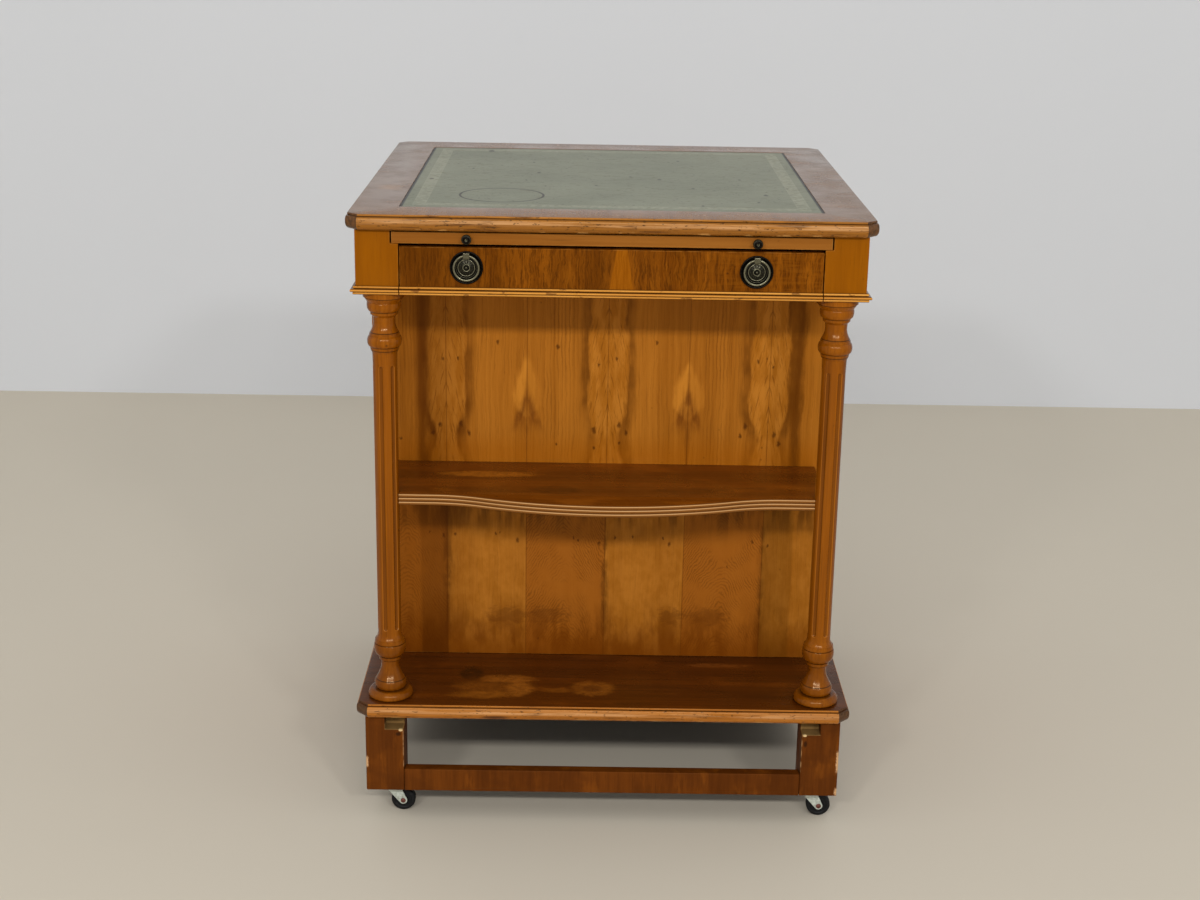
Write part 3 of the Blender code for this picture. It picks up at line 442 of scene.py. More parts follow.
honey = plain_wood("honey_veneer", "Z", tint(144, 81, 2), tint(128, 69, 1), tint(190, 130, 58), wear=0.25,
                   grain={"across": 240.0, "run": 16.0, "pores": 0.3})
slide_wood = plain_wood("slide_wood", "X", tint(152, 95, 35), tint(130, 76, 22), tint(196, 140, 72),
                        wear=0.35)
RAW = {"worn": tint(206, 178, 138), "rough": (0.6, 0.8), "marks": 0.4}
raw_wood = plain_wood("raw_wood", "Y", tint(196, 164, 118), tint(160, 124, 80), **RAW)
raw_cross = plain_wood("raw_cross_wood", "X", tint(190, 158, 112), tint(150, 116, 76), **RAW)
print("plain woods:", [wood.name for wood in (honey, slide_wood, raw_wood, raw_cross)])

# %% [markdown]
# The boards' moulded nose is solid honey-coloured wood, with its grain along each edge of the board, so the
# two axes change places where a side is nearer than the front or back. A pale band along its fullest part is
# a painted highlight. It has chips, dark bruises and nicks, painted shade in the crease above the nose, and
# dark end grain on the four canted corners, painted darker still on the bottom shelf as shade by the columns.
# The boards mark those corners with an attribute, and the height above the board's foot finds the rest.

# %% Nose finish
def middle_of(node):
    low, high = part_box(node)
    return (low + high) / 2


TOP_MIDDLE = middle_of("top_board")
MITRE_SOFT = 0.0004
NOSE_FULLEST = 0.0098
NOSE_CREASE = 0.0152
SCORCH = (-0.129, 0.0036)
SCORCH_REACH = (0.023, 0.0036)


def nearer_edge(bench, x, y):
    """How much nearer a side edge is than the front or back one, and a mask of the places by the sides."""
    beyond = bench.less(bench.reckon("ABSOLUTE", x), bench.off(y, TOP_MIDDLE.y))
    return beyond, bench.fade(beyond, -MITRE_SOFT, MITRE_SOFT)


def nose_finish(name, pale, dark, bottom, bruises, scorched, ends):
    material, bench, place, shader = new_finish(name, Specular_IOR_Level=0.45, Specular_Tint=WARM)
    x, y, z = bench.split(place)
    on_side = nearer_edge(bench, x, y)[1]
    along = bench.reckon("MULTIPLY_ADD", on_side, bench.less(y, x), x)
    across = bench.reckon("MULTIPLY_ADD", on_side, bench.less(x, y), y)
    edge = bench.join(along, across, z)
    colour, fibre = wood_tones(bench, edge, "X", pale, dark, across=520.0, run=9.0, pores=0.8)
    rise = bench.less(z, bottom)
    # painted highlight: a pale band along the nose's fullest part, where the lamps shine on the round
    crown_highlight = bench.times(bench.hump(rise, NOSE_FULLEST, 0.0040),
                      bench.clouds(edge, (11, 40, 260), 0.36, 0.62, 5))
    colour = bench.shade(colour, crown_highlight, 0.55, tint(224, 172, 120))
    chips = bench.times(bench.fade(rise, 0.0036, 0.0012), bench.clouds(edge, (60, 60, 300), 0.58, 0.64))
    colour = bench.shade(colour, chips, 0.8, tint(206, 152, 84))
    bruise = bench.clouds(edge, (17, 17, 210), 0.54, 0.66, 5)
    colour = bench.shade(colour, bruise, bruises, tint(84, 44, 12))
    nicks = bench.noise(bench.stretch(edge, (170, 170, 520), (0, 0.5, 0)), 1.0, 3, 0.6)
    colour = bench.shade(colour, bench.fade(nicks, 0.61, 0.67), 0.8, tint(44, 22, 8))
    if scorched:
        scorch = bench.patch((x, rise), SCORCH, SCORCH_REACH, bench.times(fibre, 0.6))
        scorch = bench.times(scorch, bench.fade(y, TOP_MIDDLE.y, TOP_MIDDLE.y - 0.1))
        colour = bench.shade(colour, scorch, scorched, tint(52, 18, 12))
    # painted shade: a dark line in the crease above the nose
    colour = bench.shade(colour, bench.hump(rise, NOSE_CREASE, 0.0012), 0.8, tint(52, 26, 6))
    end_grain = bench.mix(bench.clouds(place, (210, 210, 210), 0.35, 0.65), *ends)
    colour = bench.shade(colour, bench.attribute("cant"), 0.9, end_grain)
    wear_and_polish(bench, place, shader, colour, fibre, tint(206, 152, 84), 0.5, (0.20, 0.34), 1.2)
    return material


TOP_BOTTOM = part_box("top_board")[0].z
SHELF_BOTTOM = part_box("bottom_shelf")[0].z
top_nose = nose_finish("top_nose", tint(170, 108, 34), tint(116, 67, 17), TOP_BOTTOM, 0.8, 0.0,
                       (tint(50, 27, 10), tint(90, 54, 24)))
# The bottom shelf's end grain is darker than the top's: dark end grain, with painted shade beside the
# columns.
bottom_nose = nose_finish("bottom_nose", tint(180, 110, 36), tint(138, 78, 20), SHELF_BOTTOM, 0.5, 0.9,
                          (tint(26, 11, 5), tint(58, 29, 13)))
print("noses start at", round(TOP_BOTTOM, 4), "and", round(SHELF_BOTTOM, 4))

# %% [markdown]
# The veneer border round the leather is laid with its grain across each border, mitred at the corners, so
# the grain's direction follows whichever edge is nearer. It is reddish brown under a high polish, and it
# looks grey in the photograph only because it mirrors the wall. Thin dark lines mark the mitres.

# %% Border veneer of the top
border, bench, place, shader = new_finish("border_veneer", Specular_IOR_Level=0.5)
x, y = bench.split(place)[:2]
beyond, on_side = nearer_edge(bench, x, y)
BORDER_GRAIN = {"across": 420.0, "run": 20.0}
side_tones, side_fibre = wood_tones(bench, place, "X", tint(124, 88, 54), tint(106, 70, 40), **BORDER_GRAIN)
front_tones = wood_tones(bench, place, "Y", tint(136, 94, 54), tint(114, 74, 40), **BORDER_GRAIN)[0]
colour = bench.mix(on_side, front_tones, side_tones)
colour = bench.shade(colour, bench.clouds(place, (13, 29, 13), 0.56, 0.70, 4), 0.3, tint(160, 112, 66))
colour = bench.shade(colour, bench.clouds(place, (9, 24, 9), 0.58, 0.70, 4), 0.3, tint(76, 48, 28))
PALE_SPOT = (-0.266, -0.106)
pale = bench.patch((x, y), PALE_SPOT, (0.022, 0.030), bench.times(bench.noise(place, 60, 3), 0.8))
colour = bench.shade(colour, pale, 0.45, tint(176, 124, 70))
colour = bench.shade(colour, bench.hump(beyond, 0.0, 0.0009), 0.6, tint(52, 28, 12))
wear_and_polish(bench, place, shader, colour, side_fibre, tint(190, 150, 104), 0.4, (0.16, 0.30))
print("border grain turns at the mitres")

# %% [markdown]
# The writing surface is old sage-green leather let into the top: faded, a little grey, with short brown
# streaks, dark specks, a rubbed tooled band near its edge and a ring left by a wet glass. All of that is
# colour on a nearly flat skin, so it is painted by position, and only the fine grain is relief.

# %% Leather
leather, bench, place, shader = new_finish("sage_leather", Specular_IOR_Level=0.25)
x, y = bench.split(place)[:2]
LEATHER_LOW, LEATHER_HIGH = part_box("leather_inset")
colour = bench.mix(bench.clouds(place, (9, 9, 9), 0.32, 0.68, 4), tint(114, 117, 94), tint(126, 128, 105))
veins = bench.noise(bench.stretch(place, (60, 150, 1)), 1.0, 5, 0.7, 1.4)
streaks = bench.fade(veins, 0.52, 0.70)
colour = bench.shade(colour, streaks, 0.45, tint(106, 98, 78))
colour = bench.shade(colour, bench.fade(veins, 0.42, 0.30), 0.35, tint(148, 149, 128))
for scale, size in ((70.0, 0.16), (150.0, 0.22)):
    flecks = bench.times(bench.fade(bench.cells(place, scale), size, size * 0.4),
                         bench.fade(bench.noise(place, 31, 2), 0.50, 0.58))
    colour = bench.shade(colour, flecks, 0.7, tint(50, 40, 27))

TOOLED = tint(176, 172, 146)
BAND_OUT, BAND_IN = 0.0138, 0.0278
edge_x = bench.less(LEATHER_HIGH.x, bench.reckon("ABSOLUTE", x))
edge_y = bench.less((LEATHER_HIGH.y - LEATHER_LOW.y) / 2, bench.off(y, middle_of("leather_inset").y))
edge = bench.reckon("MINIMUM", edge_x, edge_y)
band = bench.times(bench.fade(edge, BAND_OUT - 0.0008, BAND_OUT + 0.0007),
                   bench.fade(edge, BAND_IN + 0.0007, BAND_IN - 0.0008))
links = bench.clouds(place, (160, 160, 1), 0.42, 0.58, 2)
colour = bench.shade(colour, band, bench.reckon("MULTIPLY_ADD", links, 0.30, 0.10), TOOLED)
rules = bench.most(bench.hump(edge, BAND_OUT, 0.0009), bench.hump(edge, BAND_IN, 0.0009))
colour = bench.shade(colour, rules, 0.25, TOOLED)
back_edge = bench.reckon("MINIMUM", edge_x, bench.less(LEATHER_HIGH.y, y))
gap_line = bench.most(bench.fade(back_edge, 0.0040, 0.0024), bench.fade(edge, 0.0014, 0.0004))
colour = bench.shade(colour, gap_line, 0.95, tint(18, 13, 8))

RING_STAIN = (-0.1298, -0.148)
RING_STAIN_RADIUS = 0.0495
wander = bench.swing(bench.noise(place, 24, 2), 0.002)
away = bench.join(bench.less(x, RING_STAIN[0]), bench.less(y, RING_STAIN[1]), wander)
off_ring = bench.off(bench.reckon("ADD", bench.length(away), wander), RING_STAIN_RADIUS)
ring = bench.times(bench.fade(off_ring, 0.0019, 0.0007), bench.fade(bench.noise(place, 19, 2), 0.10, 0.32))
colour = bench.shade(colour, ring, 1.0, tint(30, 18, 6))

SPECKS = ((-0.100, 0.119, 1.2), (-0.091, 0.030, 1.7), (-0.029, 0.156, 1.1), (-0.161, 0.218, 3.0),
          (0.025, 0.007, 1.2), (0.091, 0.149, 1.4), (0.061, -0.012, 1.8), (0.162, -0.004, 1.3),
          (0.185, -0.121, 2.0), (0.100, -0.079, 1.4), (-0.018, -0.066, 1.2), (-0.105, -0.031, 1.0),
          (-0.176, 0.058, 1.2), (-0.222, -0.033, 2.0), (0.105, -0.203, 1.4), (0.172, -0.172, 1.2))
broken = bench.swing(bench.noise(place, 420, 3), 2.4)
for speck_x, speck_y, size in SPECKS:
    speck = bench.patch((x, y), (speck_x, speck_y), (size * 0.0016, size * 0.0032), broken)
    colour = bench.shade(colour, speck, 0.85, tint(34, 22, 12))
bench.link(colour, shader["Base Color"])
set_gloss(bench, shader, streaks, (0.38, 0.50))
roughen(bench, shader, bench.cells(place, 620.0), 0.25, 0.0002)
print("leather runs from", [round(v, 4) for v in LEATHER_LOW], "to", [round(v, 4) for v in LEATHER_HIGH])

# %% [markdown]
# The drawer front is veneered upright in several leaves: a dark left end, wavy brown figure, a pale tapered
# stripe of sapwood right of the middle, and a ripple at the right end. The leaves are told apart by the
# distance along the front, and a little noise keeps their edges from looking ruled.

# %% Drawer veneer
drawer_veneer, bench, place, shader = new_finish("drawer_veneer", Specular_IOR_Level=0.07, Specular_Tint=WARM)
DRAWER_LOW, DRAWER_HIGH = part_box("drawer_front")
x, y, z = bench.split(place)
waver = bench.swing(bench.noise(bench.stretch(place, (34, 1, 60)), 1.0, 3), 0.006)
swayed = bench.join(bench.reckon("ADD", x, waver), y, z)
colour, fibre = wood_tones(bench, swayed, "Z", tint(138, 76, 9), tint(94, 46, 2), 560.0, 30.0, 0.85)
colour = bench.shade(colour, bench.clouds(swayed, (34, 1, 7), 0.42, 0.64), 0.38, tint(82, 40, 2))
colour = bench.shade(colour, bench.clouds(swayed, (330, 1, 60), 0.52, 0.62), 0.45, tint(66, 30, 1))
colour = bench.shade(colour, bench.clouds(swayed, (640, 1, 44), 0.54, 0.62), 0.5, tint(58, 25, 1))
colour = bench.shade(colour, bench.hump(x, -0.022, 0.036), 0.35, tint(80, 40, 2))
colour = bench.shade(colour, bench.clouds(swayed, (170, 1, 30), 0.56, 0.68), 0.3, tint(150, 86, 14))
colour = bench.shade(colour, bench.fade(x, -0.100, -0.17), 0.4, tint(80, 40, 1))
ripple = bench.noise(bench.stretch(place, (26, 1, 300), (0, 0.35, 0)), 1.0, 2, 0.5, 0.4)
ripple = bench.times(bench.fade(ripple, 0.42, 0.62), bench.fade(x, 0.08, 0.14))
colour = bench.shade(colour, ripple, 0.3, tint(134, 76, 10))

STRIPE_AT = 0.0112
STRIPE_FOOT = 0.0150
STRIPE_TAPER = 0.0088
VENEER_SEAMS = (-0.135, -0.029, 0.118)
up = bench.reckon("DIVIDE", bench.less(z, DRAWER_LOW.z), DRAWER_HIGH.z - DRAWER_LOW.z)
half_stripe = bench.reckon("MULTIPLY_ADD", up, -STRIPE_TAPER, STRIPE_FOOT)
off_stripe = bench.reckon("MULTIPLY_ADD", waver, 0.35, bench.less(x, STRIPE_AT))
inside = bench.less(half_stripe, bench.reckon("ABSOLUTE", off_stripe))
sap = bench.mix(fibre, tint(132, 71, 3), tint(150, 85, 9))
colour = bench.mix(bench.fade(inside, -0.0012, 0.0012), colour, sap)
for seam in VENEER_SEAMS:
    colour = bench.shade(colour, bench.hump(x, seam, 0.0007), 0.5, tint(60, 26, 2))
wear_and_polish(bench, place, shader, colour, fibre, tint(176, 116, 46), 0.35, (0.26, 0.42))
print("drawer front is", round((DRAWER_HIGH.x - DRAWER_LOW.x) * 1000), "mm wide")

# %% [markdown]
# The three beads at the foot of the frieze are rubbed to a bright gold on their crowns, and the grooves
# between them are painted dark as painted shade. Their height repeats every third of the strip, so the
# fraction of that height finds the grooves. A few crowns are chipped back to brown.

# %% Bead finish
bead_gold, bench, place, shader = new_finish("bead_gold", Specular_IOR_Level=0.3, Specular_Tint=WARM)
BEADS = 3
BEAD_LOW, BEAD_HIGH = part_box("drawer_bead")
BEAD_PITCH = (BEAD_HIGH.z - BEAD_LOW.z) / BEADS
colour, fibre = wood_tones(bench, place, "X", tint(222, 156, 66), tint(178, 110, 28), 420.0, 10.0)
rise = bench.less(bench.split(place)[2], BEAD_LOW.z)
step = bench.reckon("FRACT", bench.reckon("DIVIDE", rise, BEAD_PITCH))
# painted shade: the grooves between the beads are darkened
groove = bench.fade(bench.off(step, 0.55), 0.20, 0.40)
colour = bench.shade(colour, groove, 0.92, tint(74, 36, 3))
colour = bench.shade(colour, bench.clouds(place, (46, 46, 138), 0.60, 0.66), 0.7, tint(96, 52, 16))
wear_and_polish(bench, place, shader, colour, fibre, tint(224, 168, 96), rough=(0.22, 0.38))
print("bead pitch", round(BEAD_PITCH * 1000, 2), "mm")

# %% [markdown]
# The columns are glossy orange-brown with upright grain, darker towards the foot. The creases between the
# turned rounds and the flutes are painted dark as painted shade, the flutes' edges carry a painted highlight,
# and the sides are painted darker than the front as painted shade. Each round mirrors the lamps as two small
# bright dots, so the polish is kept smooth and only a little uneven.

# %% Column finish
column_wood, bench, place, shader = new_finish("column_wood", Specular_IOR_Level=0.26, Specular_Tint=WARM)
colour, fibre = wood_tones(bench, place, "Z", tint(160, 89, 7), tint(116, 58, 1), 360.0, 7.0)
colour = bench.shade(colour, bench.clouds(place, (30, 30, 5), 0.35, 0.70), 0.35, tint(100, 48, 2))
COLUMN_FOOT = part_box("column_right")[0].z
COLUMN_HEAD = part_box("column_right")[1].z
COLUMN_AXIS = middle_of("column_right")
SHAFT = 0.0139
TURNED_END = 0.084
FOOT_CREASES = (0.0112, 0.0227, 0.0475, 0.0522, 0.0690)
HEAD_CREASES = (0.0064, 0.0230, 0.0474, 0.0642, 0.0683)
x, y, height = bench.split(place)
levels = [COLUMN_FOOT + level for level in FOOT_CREASES] + [COLUMN_HEAD - level for level in HEAD_CREASES]
# painted shade: thin dark lines in the creases between the turned rounds
crease_shade = bench.most(*[bench.hump(height, level, 0.0010) for level in levels])
# the wood is darker towards the foot of the column
foot = bench.fade(height, COLUMN_FOOT + 0.080, COLUMN_FOOT + 0.060)
colour = bench.shade(colour, foot, 0.32, tint(78, 36, 3))
colour = bench.shade(colour, crease_shade, 0.85, tint(40, 17, 2))

aside = bench.less(bench.reckon("ABSOLUTE", x), COLUMN_AXIS.x)
radius = bench.length(bench.join(aside, bench.less(y, COLUMN_AXIS.y), 0.0))
facing = bench.reckon("DIVIDE", bench.less(COLUMN_AXIS.y, y), radius)
# painted shade: the sides of the column, turned away from the lamps, are darker than the front
colour = bench.shade(colour, bench.fade(facing, 0.85, 0.20), 0.45, tint(80, 37, 2))
on_shaft = bench.times(bench.fade(height, COLUMN_FOOT + TURNED_END, COLUMN_FOOT + TURNED_END + 0.001),
                       bench.fade(height, COLUMN_HEAD - TURNED_END, COLUMN_HEAD - TURNED_END - 0.001))
# painted shade: the bottoms of the flutes are darkened
flutes = bench.times(bench.fade(radius, SHAFT - 0.0005, SHAFT - 0.0015), on_shaft)
colour = bench.shade(colour, flutes, 0.40, tint(70, 33, 2))
# painted highlight: thin pale lines along the edges of the flutes
flute_edge_highlight = bench.times(bench.hump(radius, SHAFT - 0.0003, 0.0003), on_shaft)
colour = bench.shade(colour, flute_edge_highlight, 0.6, tint(196, 124, 40))
wear_and_polish(bench, place, shader, colour, fibre, tint(186, 124, 60), rough=(0.13, 0.22))
print("columns stand from", round(COLUMN_FOOT, 4), "to", round(COLUMN_HEAD, 4))

# %% [markdown]
# The panel behind the bays is the showpiece: bookmatched yew. Above the shelf, pale feathery flames with dark
# edges stand on every second joint and narrow spears between; below it, plain leaves take turns with wavy
# ones. Each form is a distance from a wavering edge on the folded leaf, so each is mirrored for free.

# %% Yew panel: the folded leaf
LEAF = 0.099
SHELF_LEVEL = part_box("middle_shelf")[1].z
LEAF_DRIFT = 0.16
SWAYS = (((20, 20, 11), 0.012), ((150, 150, 26), 0.014))


def yew_leaves(bench, across, up):
    """The distance from the joint at 0, the same with a slow sway and with a feathery one, and a place."""
    leaves = bench.group(LEAVES, {"Across": across, "Width": LEAF})
    spot = bench.join(leaves["Folded"], bench.times(across, LEAF_DRIFT), up)
    ways = [leaves["Folded"]]
    for scale, reach in SWAYS:
        sway = bench.swing(bench.noise(bench.stretch(spot, scale), 1.0, 5, 0.65), reach)
        ways.append(bench.reckon("ADD", ways[-1], sway))
    return leaves["Odd"], ways, spot


print("leaves of", LEAF * 1000, "mm, shelf at", round(SHELF_LEVEL, 4))

# %% [markdown]
# The flames come first. The distance from the joint, less the flame's half width at that height, is below
# nothing inside the flame and above it outside. So one value gives the pale body, the dark edge round it
# and the fine hairs that stay within.

# %% Yew panel: flames
FLAME_HALF = 0.0240
FLAME_WAIST = 0.446


def yew_flames(bench, ways, up, spot, colour):
    """Pale feathery flames on the joints at 0, narrow at the waist, with soft dark edges."""
    waist = bench.times(bench.hump(up, FLAME_WAIST, 0.050), -0.0105)
    half = bench.reckon("MULTIPLY_ADD", bench.fade(up, 0.565, 0.600), -0.0040, waist)
    wide = bench.less(ways[2], bench.reckon("ADD", half, FLAME_HALF))
    drifts = bench.clouds(spot, (34, 34, 16), 0.36, 0.62)
    edge = bench.times(bench.fade(wide, -0.003, 0.002), bench.fade(wide, 0.018, 0.002),
                       bench.reckon("MULTIPLY_ADD", drifts, 0.55, 0.45))
    colour = bench.shade(colour, edge, 0.80, tint(94, 47, 1))
    pale = bench.mix(bench.clouds(spot, (120, 120, 26), 0.38, 0.62, 4), tint(160, 95, 18), tint(190, 121, 40))
    inside = bench.fade(wide, 0.002, -0.004)
    colour = bench.shade(colour, inside, 0.6, pale)
    leaning = bench.join(bench.reckon("MULTIPLY_ADD", up, 0.24, ways[0]), ways[1], up)
    hairs = bench.clouds(leaning, (520, 90, 34), 0.54, 0.66)
    colour = bench.shade(colour, bench.times(hairs, inside), 0.62, tint(108, 57, 4))
    soot = bench.times(bench.hump(ways[2], 0.0185, 0.0085), bench.hump(up, 0.458, 0.014), drifts)
    return bench.shade(colour, soot, 0.6, tint(88, 45, 4))


print("flames are", round(FLAME_HALF * 2000), "mm wide")

# %% [markdown]
# A spear tapers to a tip above and is cut off at its foot, where a dark arrow points upwards. It uses the
# same trick as the flames, measured from the other side of the leaf. Beside it, every second leaf shows
# yearly lines, which are a sine wave of the distance.

# %% Yew panel: spears
SPEAR_HALF = 0.0190
SPEAR_TIP = 0.566
SPEAR_FULLEST = 0.500
SPEAR_CUT = 0.494
SPEAR_FOOT = 0.466
ARROW_TIP = 0.499
ARROW_LEAN = 0.36


def growth_lines(bench, value, pitch):
    """A wave that repeats with a pitch, like the yearly lines of the wood."""
    return bench.reckon("SINE", bench.times(value, 2 * math.pi / pitch))


def yew_spears(bench, odd, ways, up, spot, colour):
    """Spears at a leaf's width from the flames, paler on one leaf, with a dark arrow in their foot."""
    far = bench.less(LEAF, ways[2])
    taper = bench.times(bench.fade(up, SPEAR_TIP, SPEAR_FULLEST), bench.fade(up, SPEAR_FOOT, SPEAR_CUT))
    narrow = bench.less(far, bench.times(taper, SPEAR_HALF))
    blotches = bench.reckon("MULTIPLY_ADD", bench.clouds(spot, (170, 170, 22), 0.34, 0.58), 0.6, 0.4)
    body = bench.times(bench.fade(narrow, 0.0025, -0.0055), bench.fade(taper, 0.02, 0.30), blotches,
                       bench.reckon("MULTIPLY_ADD", odd, -0.45, 1.0))
    colour = bench.shade(colour, body, 1.0, tint(192, 122, 38))
    lean = bench.reckon("MULTIPLY_ADD", up, ARROW_LEAN, far)
    tip = ARROW_LEAN * ARROW_TIP
    filled = bench.times(bench.fade(lean, tip, tip - 0.006), 0.62)
    arrow = bench.times(bench.most(bench.hump(lean, tip, 0.0090), filled), bench.fade(up, 0.450, 0.472),
                        bench.clouds(spot, (130, 130, 34), 0.20, 0.58, 4))
    colour = bench.shade(colour, arrow, 0.74, tint(98, 46, 6))
    lines = bench.times(bench.fade(growth_lines(bench, ways[1], 0.0046), 0.2, 1.0), odd,
                        bench.hump(ways[0], 0.058, 0.034), bench.clouds(spot, (30, 30, 9), 0.36, 0.60))
    colour = bench.shade(colour, lines, 0.5, tint(104, 55, 6))
    seam = bench.times(bench.fade(far, 0.004, 0.0), bench.fade(up, 0.475, 0.450))
    colour = bench.shade(colour, seam, 0.5, tint(92, 42, 1))
    return bench.shade(colour, bench.fade(up, 0.462, 0.425), 0.45, tint(160, 86, 2))


print("spears reach from", SPEAR_FOOT, "to", SPEAR_TIP, "m above the floor")

# %% [markdown]
# Below the shelf the figure is plainer: every second leaf has wavy rings. Over it lie smudges, drips under
# the shelf and dirt, and a painted shade that darkens and reddens the foot. Each is a mask of noise at its
# own height.

# %% Yew panel: the lower figure
SMUDGE_LEVEL = 0.212
SMUDGES = ((-0.122, 0.032), (-0.071, 0.034), (0.086, 0.024), (0.134, 0.030))


def yew_lower(bench, odd, ways, across, up, spot, colour):
    """Plain leaves and wavy leaves in turn, with smudges, drips and painted shade darkening the foot."""
    aside = bench.less(ways[1], 0.0515)
    bow = bench.reckon("POWER", bench.reckon("MULTIPLY_ADD", aside, aside, 0.00005), 0.5)
    uneven = bench.noise(bench.stretch(spot, (44, 44, 30)), 1.0, 4, 0.6)
    rings = bench.reckon("MULTIPLY_ADD", bow, 1.8, bench.reckon("MULTIPLY_ADD", uneven, 0.034, up))
    lines = bench.times(bench.fade(growth_lines(bench, rings, 0.0062), -0.2, 1.0),
                        bench.fade(bench.noise(spot, 30, 3), 0.36, 0.60))
    mottle = bench.mix(bench.clouds(spot, (70, 70, 46), 0.34, 0.66, 4), tint(148, 88, 20), tint(180, 114, 40))
    colour = bench.mix(0.4, colour, mottle)
    wavy = bench.mix(bench.times(lines, 0.65), tint(152, 85, 20), tint(102, 51, 6))
    colour = bench.shade(colour, odd, 0.8, wavy)
    ragged = bench.noise(bench.stretch(spot, (80, 80, 170)), 1.0, 5, 0.7, 0.6)
    ragged = bench.reckon("MULTIPLY_ADD", ragged, 3.4, -1.5)
    for middle, reach in SMUDGES:
        smudge = bench.patch((across, up), (middle, SMUDGE_LEVEL), (reach, 0.015), ragged)
        colour = bench.shade(colour, smudge, 0.42, tint(88, 44, 8))
    drips = bench.times(bench.clouds(spot, (74, 74, 12), 0.42, 0.60), bench.fade(up, 0.308, 0.360))
    colour = bench.shade(colour, drips, 0.70, tint(84, 44, 6))
    dirt = bench.times(bench.fade(ways[2], 0.009, -0.002), bench.clouds(spot, (60, 60, 22), 0.36, 0.56, 4))
    colour = bench.shade(colour, dirt, 0.75, tint(78, 40, 4))
    # painted shade: the panel grows darker towards the bottom of the bay, broken into streaks by noise
    foot_shade = bench.times(bench.clouds(spot, (46, 46, 16), 0.40, 0.62, 4), bench.fade(up, 0.252, 0.178))
    colour = bench.shade(colour, foot_shade, 0.65, tint(92, 42, 1))
    # painted shade: the foot of the panel is darker and redder
    return bench.shade(colour, bench.fade(up, 0.222, 0.155), 0.75, tint(112, 53, 1))


print(len(SMUDGES), "smudges below the shelf")

# %% [markdown]
# Yew is full of small dark pips, the knots of thin twigs. They aren't mirrored as neatly as the figure, so
# each has a place and a size of its own, and noise nudges it out of round. The outermost leaves are darker
# strips that differ above and below the shelf; their dark bands above it are partly painted shadow of the
# columns, and the left strip below it and the whole left side are painted darker as painted shade.

# %% Yew panel: pips and strips
UPPER_PIPS = ((-0.2016, 0.5466, 1.5), (-0.1833, 0.5476, 1.7), (-0.206, 0.4634, 2.2), (-0.1801, 0.4651, 2.6),
              (-0.2147, 0.4529, 2.6), (-0.1703, 0.4524, 2.2), (-0.2543, 0.4446, 1.6), (-0.1346, 0.5684, 2.2),
              (-0.0616, 0.5633, 2.2), (0.0587, 0.5703, 2.0), (-0.0114, 0.5415, 1.8), (0.0104, 0.5494, 1.8),
              (-0.0161, 0.4587, 3.2), (0.0146, 0.4656, 2.8), (0.0234, 0.4555, 2.2), (-0.0628, 0.4399, 1.3),
              (-0.0158, 0.4355, 1.6), (0.015, 0.4424, 1.8), (0.183, 0.5486, 1.7), (0.2015, 0.5424, 1.6),
              (0.1702, 0.4660, 2.8), (0.1640, 0.4540, 2.2), (0.2060, 0.4560, 2.4), (0.2120, 0.4440, 2.6))
LOWER_PIPS = ((-0.188, 0.320, 1.7), (-0.2025, 0.318, 2.0), (-0.220, 0.322, 1.5), (-0.137, 0.321, 1.4),
              (-0.132, 0.323, 1.2), (-0.110, 0.313, 2.4), (-0.0395, 0.317, 1.4), (-0.034, 0.314, 1.3),
              (-0.0072, 0.310, 1.9), (0.0123, 0.318, 1.8), (0.035, 0.319, 1.4), (0.073, 0.318, 1.5),
              (0.081, 0.310, 2.3), (0.155, 0.281, 1.2), (0.185, 0.315, 1.5), (0.2045, 0.310, 1.8))
PIP_RADIUS = 0.0013


def yew_pips(bench, place, across, up):
    """All pips as one mask, each nudged out of round by noise."""
    stray = bench.swing(bench.noise(place, 190, 3), 0.006)
    moved = {"Across": bench.reckon("ADD", across, stray), "Up": bench.less(up, stray)}
    masks = []
    for pip_across, pip_up, size in UPPER_PIPS + LOWER_PIPS:
        spot = {"Spot Across": pip_across, "Spot Up": pip_up, "Radius": size * PIP_RADIUS}
        masks.append(bench.group(PIP, {**moved, **spot})["Mask"])
    return bench.most(*masks)


def yew_strips(bench, ways, across, up, colour):
    """Outermost leaves: dark bands above the shelf, partly painted column shadow; a dark left strip and an
    olive right one below; painted shade at the left.
    """
    wavered = bench.reckon("ADD", across, bench.less(ways[2], ways[0]))
    above = bench.fade(up, SHELF_LEVEL - 0.001, SHELF_LEVEL)
    below = bench.less(1.0, above)
    bands = bench.most(bench.hump(wavered, -0.2265, 0.0135), bench.hump(wavered, 0.233, 0.0115))
    # dark bands by the columns: partly veneer, partly painted shadow of the columns
    colour = bench.shade(colour, bench.times(bands, above), 0.72, tint(84, 39, 0))
    left = bench.times(bench.fade(across, -0.233, -0.229), bench.fade(across, -0.197, -0.199), below)
    # the left strip is a dark leaf, painted darker towards the bottom as painted shade
    depth = bench.reckon("MULTIPLY_ADD", bench.fade(up, 0.27, 0.165), 0.42, 0.20)
    colour = bench.shade(colour, left, depth, tint(76, 34, 2))
    right = bench.times(bench.fade(across, 0.197, 0.199), bench.fade(across, 0.238, 0.234), below)
    colour = bench.shade(colour, right, 0.35, tint(112, 66, 10))
    # painted shade: the panel darkens towards its left end, where the column and the side shade it
    return bench.shade(colour, bench.fade(across, -0.135, -0.215), 0.36, tint(96, 44, 0))


print("the front panel holds", len(UPPER_PIPS) + len(LOWER_PIPS), "pips")

# %% [markdown]
# With the forms ready, the panel finish puts them together: fibres first, then the upper or the lower figure
# by height, then the outermost strips, the pips and the joint lines. The closed back and sides of the body
# have no shelf, so they get the upper figure alone, on the sides along the other axis.

# %% Yew panel: the finish
JOINT_WIDE = 0.0009
JOINT_FINE = 0.0001


